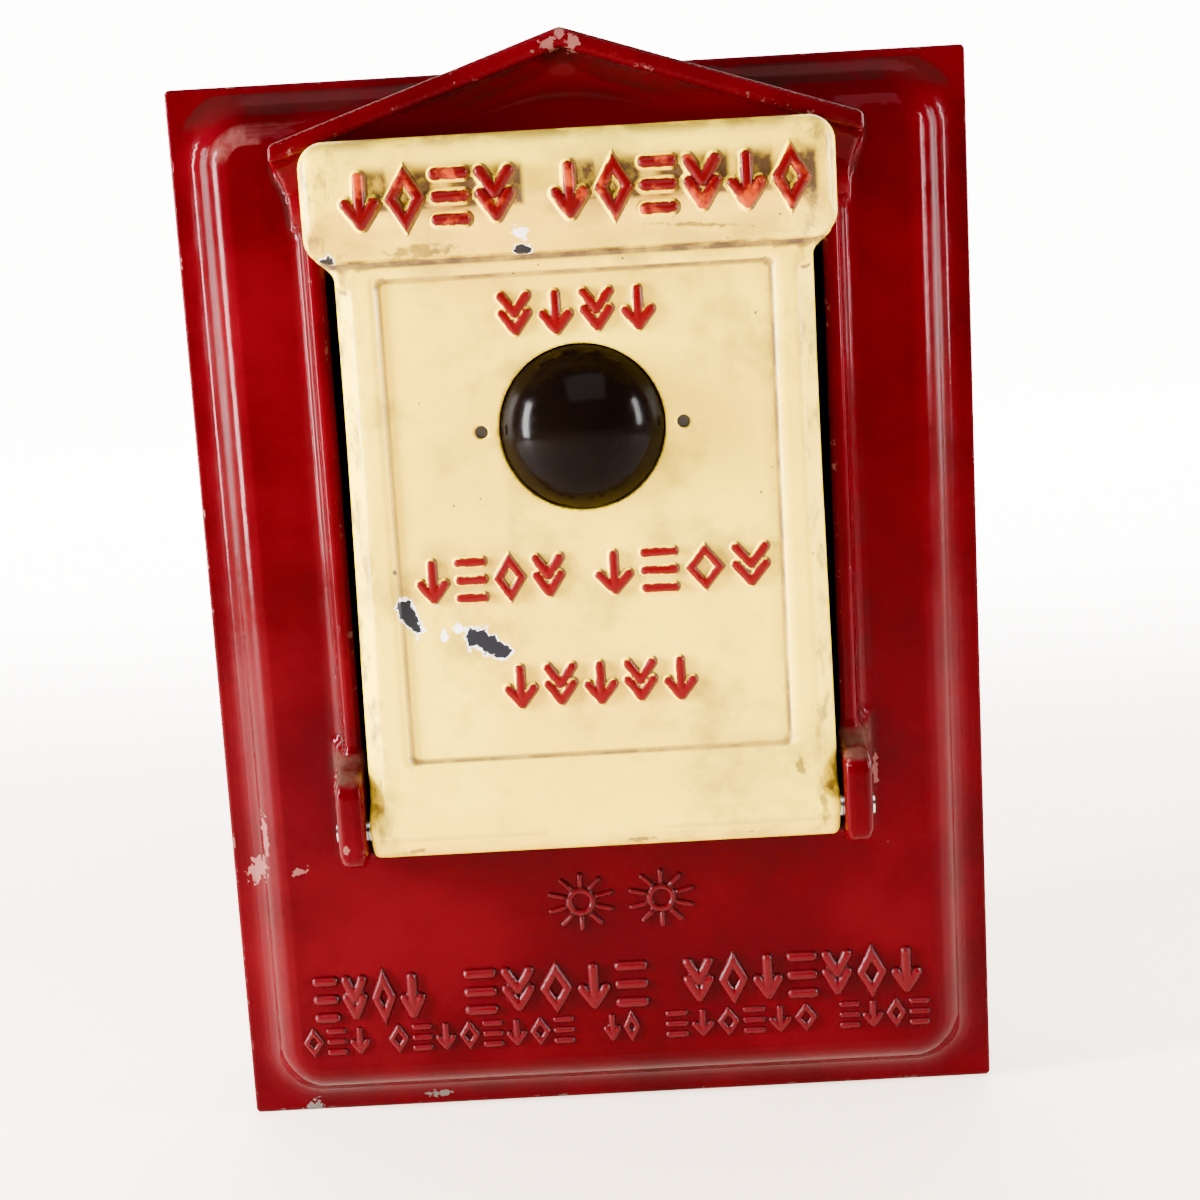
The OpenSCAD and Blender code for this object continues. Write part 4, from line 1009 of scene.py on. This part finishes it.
def double_chevron(x, z, centre, width, height, stroke):
    """Two chevrons, one above the other, that point down."""
    cx, cz = centre
    half = width / 2 - stroke
    tops = (cz + height / 2 - stroke, cz + height * 0.02)
    return union(capsule(x, z, (cx + side * half, top), (cx, top - height * 0.40), stroke)
                 for top in tops for side in (-1, 1))


def diamond(x, z, centre, width, height, stroke):
    """The outline of a diamond."""
    cx, cz = centre
    reach = (np.abs(x - cx) / (width / 2 - stroke) + np.abs(z - cz) / (height / 2 - stroke) - 1)
    return np.abs(reach) * min(width, height) * 0.36 - stroke


def grip_lines(x, z, centre, width, height, stroke):
    """Three level bars."""
    cx, cz = centre
    half = width / 2 - stroke
    levels = [cz + side * (height / 2 - stroke) for side in (-1, 0, 1)]
    return union(capsule(x, z, (cx - half, level), (cx + half, level), stroke) for level in levels)


def starburst(x, z, centre, width, height, stroke):
    """A ring with rays that run out to an oval."""
    cx, cz = centre
    parts = [np.abs(np.hypot(x - cx, z - cz) - height * 0.2) - stroke]
    for n in range(10):
        a = math.radians(36 * n + 18)
        near = (cx + 0.30 * height * math.cos(a), cz + 0.30 * height * math.sin(a))
        far = (cx + 0.48 * width * math.cos(a), cz + 0.48 * height * math.sin(a))
        parts.append(capsule(x, z, near, far, stroke * 0.8))
    return union(parts)


def mark_row(signs, groups, height, level, stroke):
    """A row of signs as one outline. groups is (left, right, count) for each run of even cells."""
    cells = []
    for left, right, count in groups:
        pitch = (right - left) / count
        cells += [(left + pitch * (k + 0.5), pitch) for k in range(count)]

    def outline(x, z):
        return union(sign(x, z, (middle, level), pitch * 0.82, height, stroke)
                     for sign, (middle, pitch) in zip(cycle(signs), cells))
    return outline


def raise_marks(name, row, face_y, rise, paint, body, step):
    """A row of marks that stands on a face. row is (signs, groups, height, level, stroke)."""
    _, groups, height, level, _ = row
    outline = mark_row(*row)
    margin = CARVE_MARGIN + rise
    low = (groups[0][0] - margin, face_y - rise - 1, level - height / 2 - margin)
    high = (groups[-1][1] + margin, face_y + 1.9, level + height / 2 + margin)

    def shape(x, y, z):
        drafted = outline(x, z) - MARK_DRAFT * np.clip(y - face_y + rise, 0, rise)
        return thick(drafted, y, face_y - rise, face_y + MARK_ROOT, min(MARK_EDGE_R, rise * 0.7))

    marks = carve(name, shape, low, high, step, keep=0.6)
    marks.data.materials.append(paint)
    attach(marks, body)


def make_door_marks():
    step = 0.3
    rows = [
        ("grip_marks", GRIP_Y, 2.3, GRIP_MARK_RED, 1.0,
         ([arrow, diamond, grip_lines, double_chevron], GRIP_MARK_GROUPS, 12.0, 99.4, 1.0)),
        ("upper_marks", PANEL_Y, 1.3, MARK_RED, 0.0,
         ([double_chevron, arrow], [(-19, 19, 4)], 10.2, 72.5, 0.95)),
        ("middle_marks", PANEL_Y, 1.3, MARK_RED, 0.0,
         ([arrow, grip_lines, diamond, double_chevron], [(-42, -5.5, 4), (0, 43, 4)], 10.4, 11.1, 0.95)),
        ("lower_marks", PANEL_Y, 1.3, MARK_RED, 0.0,
         ([arrow, double_chevron], [(-23, 24.5, 5)], 10.4, -15.2, 0.95)),
    ]
    for name, face_y, rise, ink, fading, row in rows:
        paint = mark_paint(name + "_paint", face_y, rise, ink, CREAM, MARK_SHADE, fading)
        raise_marks(name, row, face_y, rise, paint, "door", step)


def make_cover_marks():
    step = 0.35
    rows = [
        ("emblem", 0.8,
         ([starburst], [(-17.5, 22.7, 2)], 14.5, -74, 0.55)),
        ("title_marks", 1.2,
         ([grip_lines, double_chevron, diamond, arrow],
          [(-76.6, -47.6, 4), (-38.8, 8.8, 5), (16.6, 77.4, 7)], 11.5, -96.2, 0.95)),
        ("foot_marks", 0.8,
         ([diamond, grip_lines, arrow],
          [(-80, -62.4, 3), (-58.5, -10.7, 8), (-3.9, 5.9, 2), (11.7, 50.7, 6), (55.6, 79, 4)],
          6.7, -107.4, 0.6)),
    ]
    for name, rise, row in rows:
        paint = mark_paint(name + "_paint", PAN_Y, rise, RED, RED_DEEP, RED_DULL_AND_SHADE)
        raise_marks(name, row, PAN_Y, rise, paint, "station", step)


# ---------- camera, light and floor ----------

CAMERA_PLACE = (7.5, -550.7, 86.6)
CAMERA_PITCH = -9.9
CAMERA_YAW = 0.7
CAMERA_ROLL = -3.3
CAMERA_LENS = 60.6
LIGHT_AIM = (0, -0.08, 0.01)
SWEEP_FRONT = -2.0
SWEEP_BEND = 1.6
SWEEP_R = 0.8
SWEEP_TOP = 3.0
SWEEP_HALF_W = 9.0
SWEEP_STEPS = 12
PAPER = (0.95, 0.86, 0.79)
PAPER_SHADE = (0.92, 0.78, 0.68)
GLOW_NEAR = (1.0, 0.66, 0.42)
GLOW_FAR = (1.0, 0.98, 0.97)


def make_camera():
    data = bpy.data.cameras.new("camera")
    data.lens = CAMERA_LENS
    data.sensor_width = 36.0
    camera = add_object("camera", data)
    camera.matrix_world = (Matrix.Translation(Vector(CAMERA_PLACE) * MM)
                           @ Matrix.Rotation(math.radians(CAMERA_YAW), 4, "Z")
                           @ Matrix.Rotation(math.radians(90 + CAMERA_PITCH), 4, "X")
                           @ Matrix.Rotation(math.radians(CAMERA_ROLL), 4, "Z"))
    bpy.context.scene.camera = camera


def add_light(name, place, size, power):
    data = bpy.data.lights.new(name, "AREA")
    data.shape = "RECTANGLE"
    data.size, data.size_y = size
    data.energy = power
    light = add_object(name, data)
    light.location = place
    light.rotation_mode = "QUATERNION"
    light.rotation_quaternion = (Vector(LIGHT_AIM) - Vector(place)).to_track_quat("-Z", "Y")


def make_lights():
    """A softbox at each side and a weak fill from above, with places and sizes in metres."""
    add_light("left_softbox", (-0.72, -0.28, 0.14), (0.11, 0.46), 50)
    add_light("right_softbox", (0.72, -0.28, 0.18), (0.09, 0.34), 17)
    add_light("front_fill", (0.10, -0.70, 0.80), (0.80, 0.60), 9)
    world = bpy.data.worlds.new("studio")
    world.use_nodes = True
    background = world.node_tree.nodes["Background"]
    background.inputs["Color"].default_value = (1.0, 0.98, 0.96, 1)
    background.inputs["Strength"].default_value = 0.08
    bpy.context.scene.world = world


def make_floor():
    """A pale sweep: a floor under the plate's lower edge that curves up into a backdrop far behind."""
    level = cover_low.z * MM
    profile = [(SWEEP_FRONT, 0.0), (SWEEP_BEND, 0.0)]
    for n in range(1, SWEEP_STEPS + 1):
        a = math.radians(90 * n / SWEEP_STEPS)
        profile.append((SWEEP_BEND + SWEEP_R * math.sin(a), SWEEP_R - SWEEP_R * math.cos(a)))
    profile.append((SWEEP_BEND + SWEEP_R, SWEEP_TOP))
    vertices = [(x, y, level + z) for y, z in profile for x in (-SWEEP_HALF_W, SWEEP_HALF_W)]
    faces = [(2 * n, 2 * n + 1, 2 * n + 3, 2 * n + 2) for n in range(len(profile) - 1)]
    floor = add_mesh("floor", vertices, faces)
    shade_smooth(floor)
    look = Look("floor_paper")
    look.set(Base_Color=look.mix(look.noise(180, 3.0), PAPER_SHADE, PAPER), Roughness=0.6)
    look.set(Emission_Color=look.mix(look.along("Y", 0, 500), GLOW_NEAR, GLOW_FAR))
    look.set(Emission_Strength=look.along("Y", 100, 900, 1.2, 11.0))
    floor.data.materials.append(look.material)


# ---------- pieces that keep their CAD shape ----------

def repaint(names, paint, bevel=0.0):
    """Gives CAD nodes a material, and rounds their sharp edges by bevel millimetres."""
    for name in names:
        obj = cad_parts[name]
        obj.data.materials.clear()
        obj.data.materials.append(paint)
        if bevel:
            soften(obj, bevel)


def dress_cad_nodes():
    repaint(["cover_screws", "frame_screws", "contact_screws", "block_screws", "box_pillars",
             "hub_locknut"],
            metal("plated_steel", (0.62, 0.62, 0.60), 0.32), 0.25)
    repaint(["door_hinge_pin", "lever_shaft", "stop_pins", "code_arbor", "governor_arbor"],
            metal("bright_steel", (0.70, 0.70, 0.70), 0.2), 0.2)
    repaint(["shaft_clips"], metal("spring_steel", SPRING_STEEL, 0.35), 0.15)
    repaint(["lens_screws"], coating("blackened_steel", (0.012, 0.010, 0.009), 0.6), 0.15)
    repaint(["mechanism_frame"], metal("plated_sheet", (0.66, 0.60, 0.42), 0.38), 0.4)
    repaint(["conduit_hub"], metal("cast_zinc", (0.50, 0.51, 0.52), 0.5, grain=2.0), 0.6)
    repaint(["pull_lever"], metal("lever_casting", (0.62, 0.62, 0.60), 0.36, grain=5.0), 0.6)
    repaint(["lens_retainer", "bearing_bushes", "code_pinion", "code_wheel", "train_wheel",
             "governor_fly", "terminal_screws"],
            metal("brass", (0.72, 0.52, 0.22), 0.26), 0.12)
    repaint(["winding_sector", "contact_leaves"], metal("bronze", (0.58, 0.36, 0.18), 0.32), 0.1)
    repaint(["cover_gasket", "door_buffers", "lens_gasket"],
            coating("black_rubber", (0.03, 0.03, 0.03), 0.75), 0.2)
    repaint(["terminal_block", "contact_insulators"],
            coating("phenolic", (0.05, 0.028, 0.02), 0.35, coat=0.2), 0.4)
    repaint(["back_box"], coating("grey_enamel", (0.050, 0.055, 0.058), 0.42), 0.8)
    repaint(["earth_screw"], coating("green_screw", (0.03, 0.22, 0.08), 0.35, coat=0.4), 0.25)
    repaint(["signal_leads"], coating("lead_insulation", (0.22, 0.035, 0.025), 0.55))


def make_dome(glass):
    """The glass dome as a turned solid with a round shoulder and a polished crown."""
    rise = PANEL_Y - dome_low.y
    ball_r = (LENS_R ** 2 + rise ** 2) / (2 * rise)
    rim = math.asin(LENS_R / ball_r)
    rings = 24
    angles = [rim * n / rings for n in range(rings + 1)]
    crown = [(ball_r * math.sin(a), dome_low.y + ball_r * (1 - math.cos(a))) for a in angles]
    flange_r = dome_high.x
    back_y = dome_high.y
    skirt = [(LENS_R, PANEL_Y + 0.4), (LENS_R, back_y - 2.2), (flange_r - 0.4, back_y - 2.0),
             (flange_r, back_y - 1.6), (flange_r, back_y - 0.3), (flange_r - 0.4, back_y), (0, back_y)]
    dome = lathe("lens_glass", crown + skirt, (0, LENS_Z), segments=128)
    dome.data.materials.append(glass)
    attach(dome, "door")
    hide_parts("lens_dome")


# ---------- springs ----------

def coil(axis, start_x, end_x, radius, start_angle, turns):
    """Points of a coil about an X axis through a (y, z) point."""
    points = []
    for n in range(round(turns * COIL_STEPS) + 1):
        t = n / (turns * COIL_STEPS)
        a = math.radians(start_angle + 360 * turns * t)
        y = axis[0] + radius * math.cos(a)
        z = axis[1] + radius * math.sin(a)
        points.append((start_x + (end_x - start_x) * t, y, z))
    return points


def make_door_spring(steel):
    """A torsion spring coiled round the hinge pin, with one leg on the cover's recess floor and one on the
    door.
    """
    half = 9
    wire_r = 0.6
    axis = (HINGE_Y, HINGE_Z)
    turns = coil(axis, -half, half, PIN_R + wire_r + 0.4, start_angle=-20, turns=7.5)
    floor_leg = (-half, FLOOR_Y - wire_r - SPRING_GAP, HINGE_Z + 12)
    leg_y = PANEL_BACK_Y + wire_r + 2 * SPRING_GAP
    door_leg = [(half, leg_y, HINGE_Z + BARREL_R), (half, leg_y, HINGE_Z + 20)]
    spring = wire("door_torsion_spring", [floor_leg] + turns + door_leg, wire_r)
    spring.data.materials.append(steel)
    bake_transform(spring)
    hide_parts("door_spring")


def make_lever_spring(steel):
    """A torsion spring that brings the lever back up."""
    wire_r = 0.8
    axis = ((shaft_low.y + shaft_high.y) / 2, (shaft_low.z + shaft_high.z) / 2)
    first_x = lever_spring_low.x + wire_r
    leg_x = lever_spring_high.x - wire_r
    last_x = leg_x - 1.1
    turns = coil(axis, first_x, last_x, 6.6, start_angle=-60, turns=6.4)
    base_leg = (first_x, lever_spring_high.y - wire_r, axis[1] - 22)
    lever_leg = (leg_x, axis[0] - 2, axis[1] + 6)
    spring = wire("lever_return_spring", [base_leg] + turns + [lever_leg], wire_r)
    spring.data.materials.append(steel)
    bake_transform(spring)
    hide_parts("lever_spring")


make_camera()
make_lights()
make_floor()
dress_cad_nodes()
make_cover(red_enamel())
make_door(cream_enamel())
make_door_marks()
make_cover_marks()
make_dome(dark_glass())
spring_wire = metal("spring_wire", SPRING_STEEL, 0.35)
make_door_spring(spring_wire)
make_lever_spring(spring_wire)
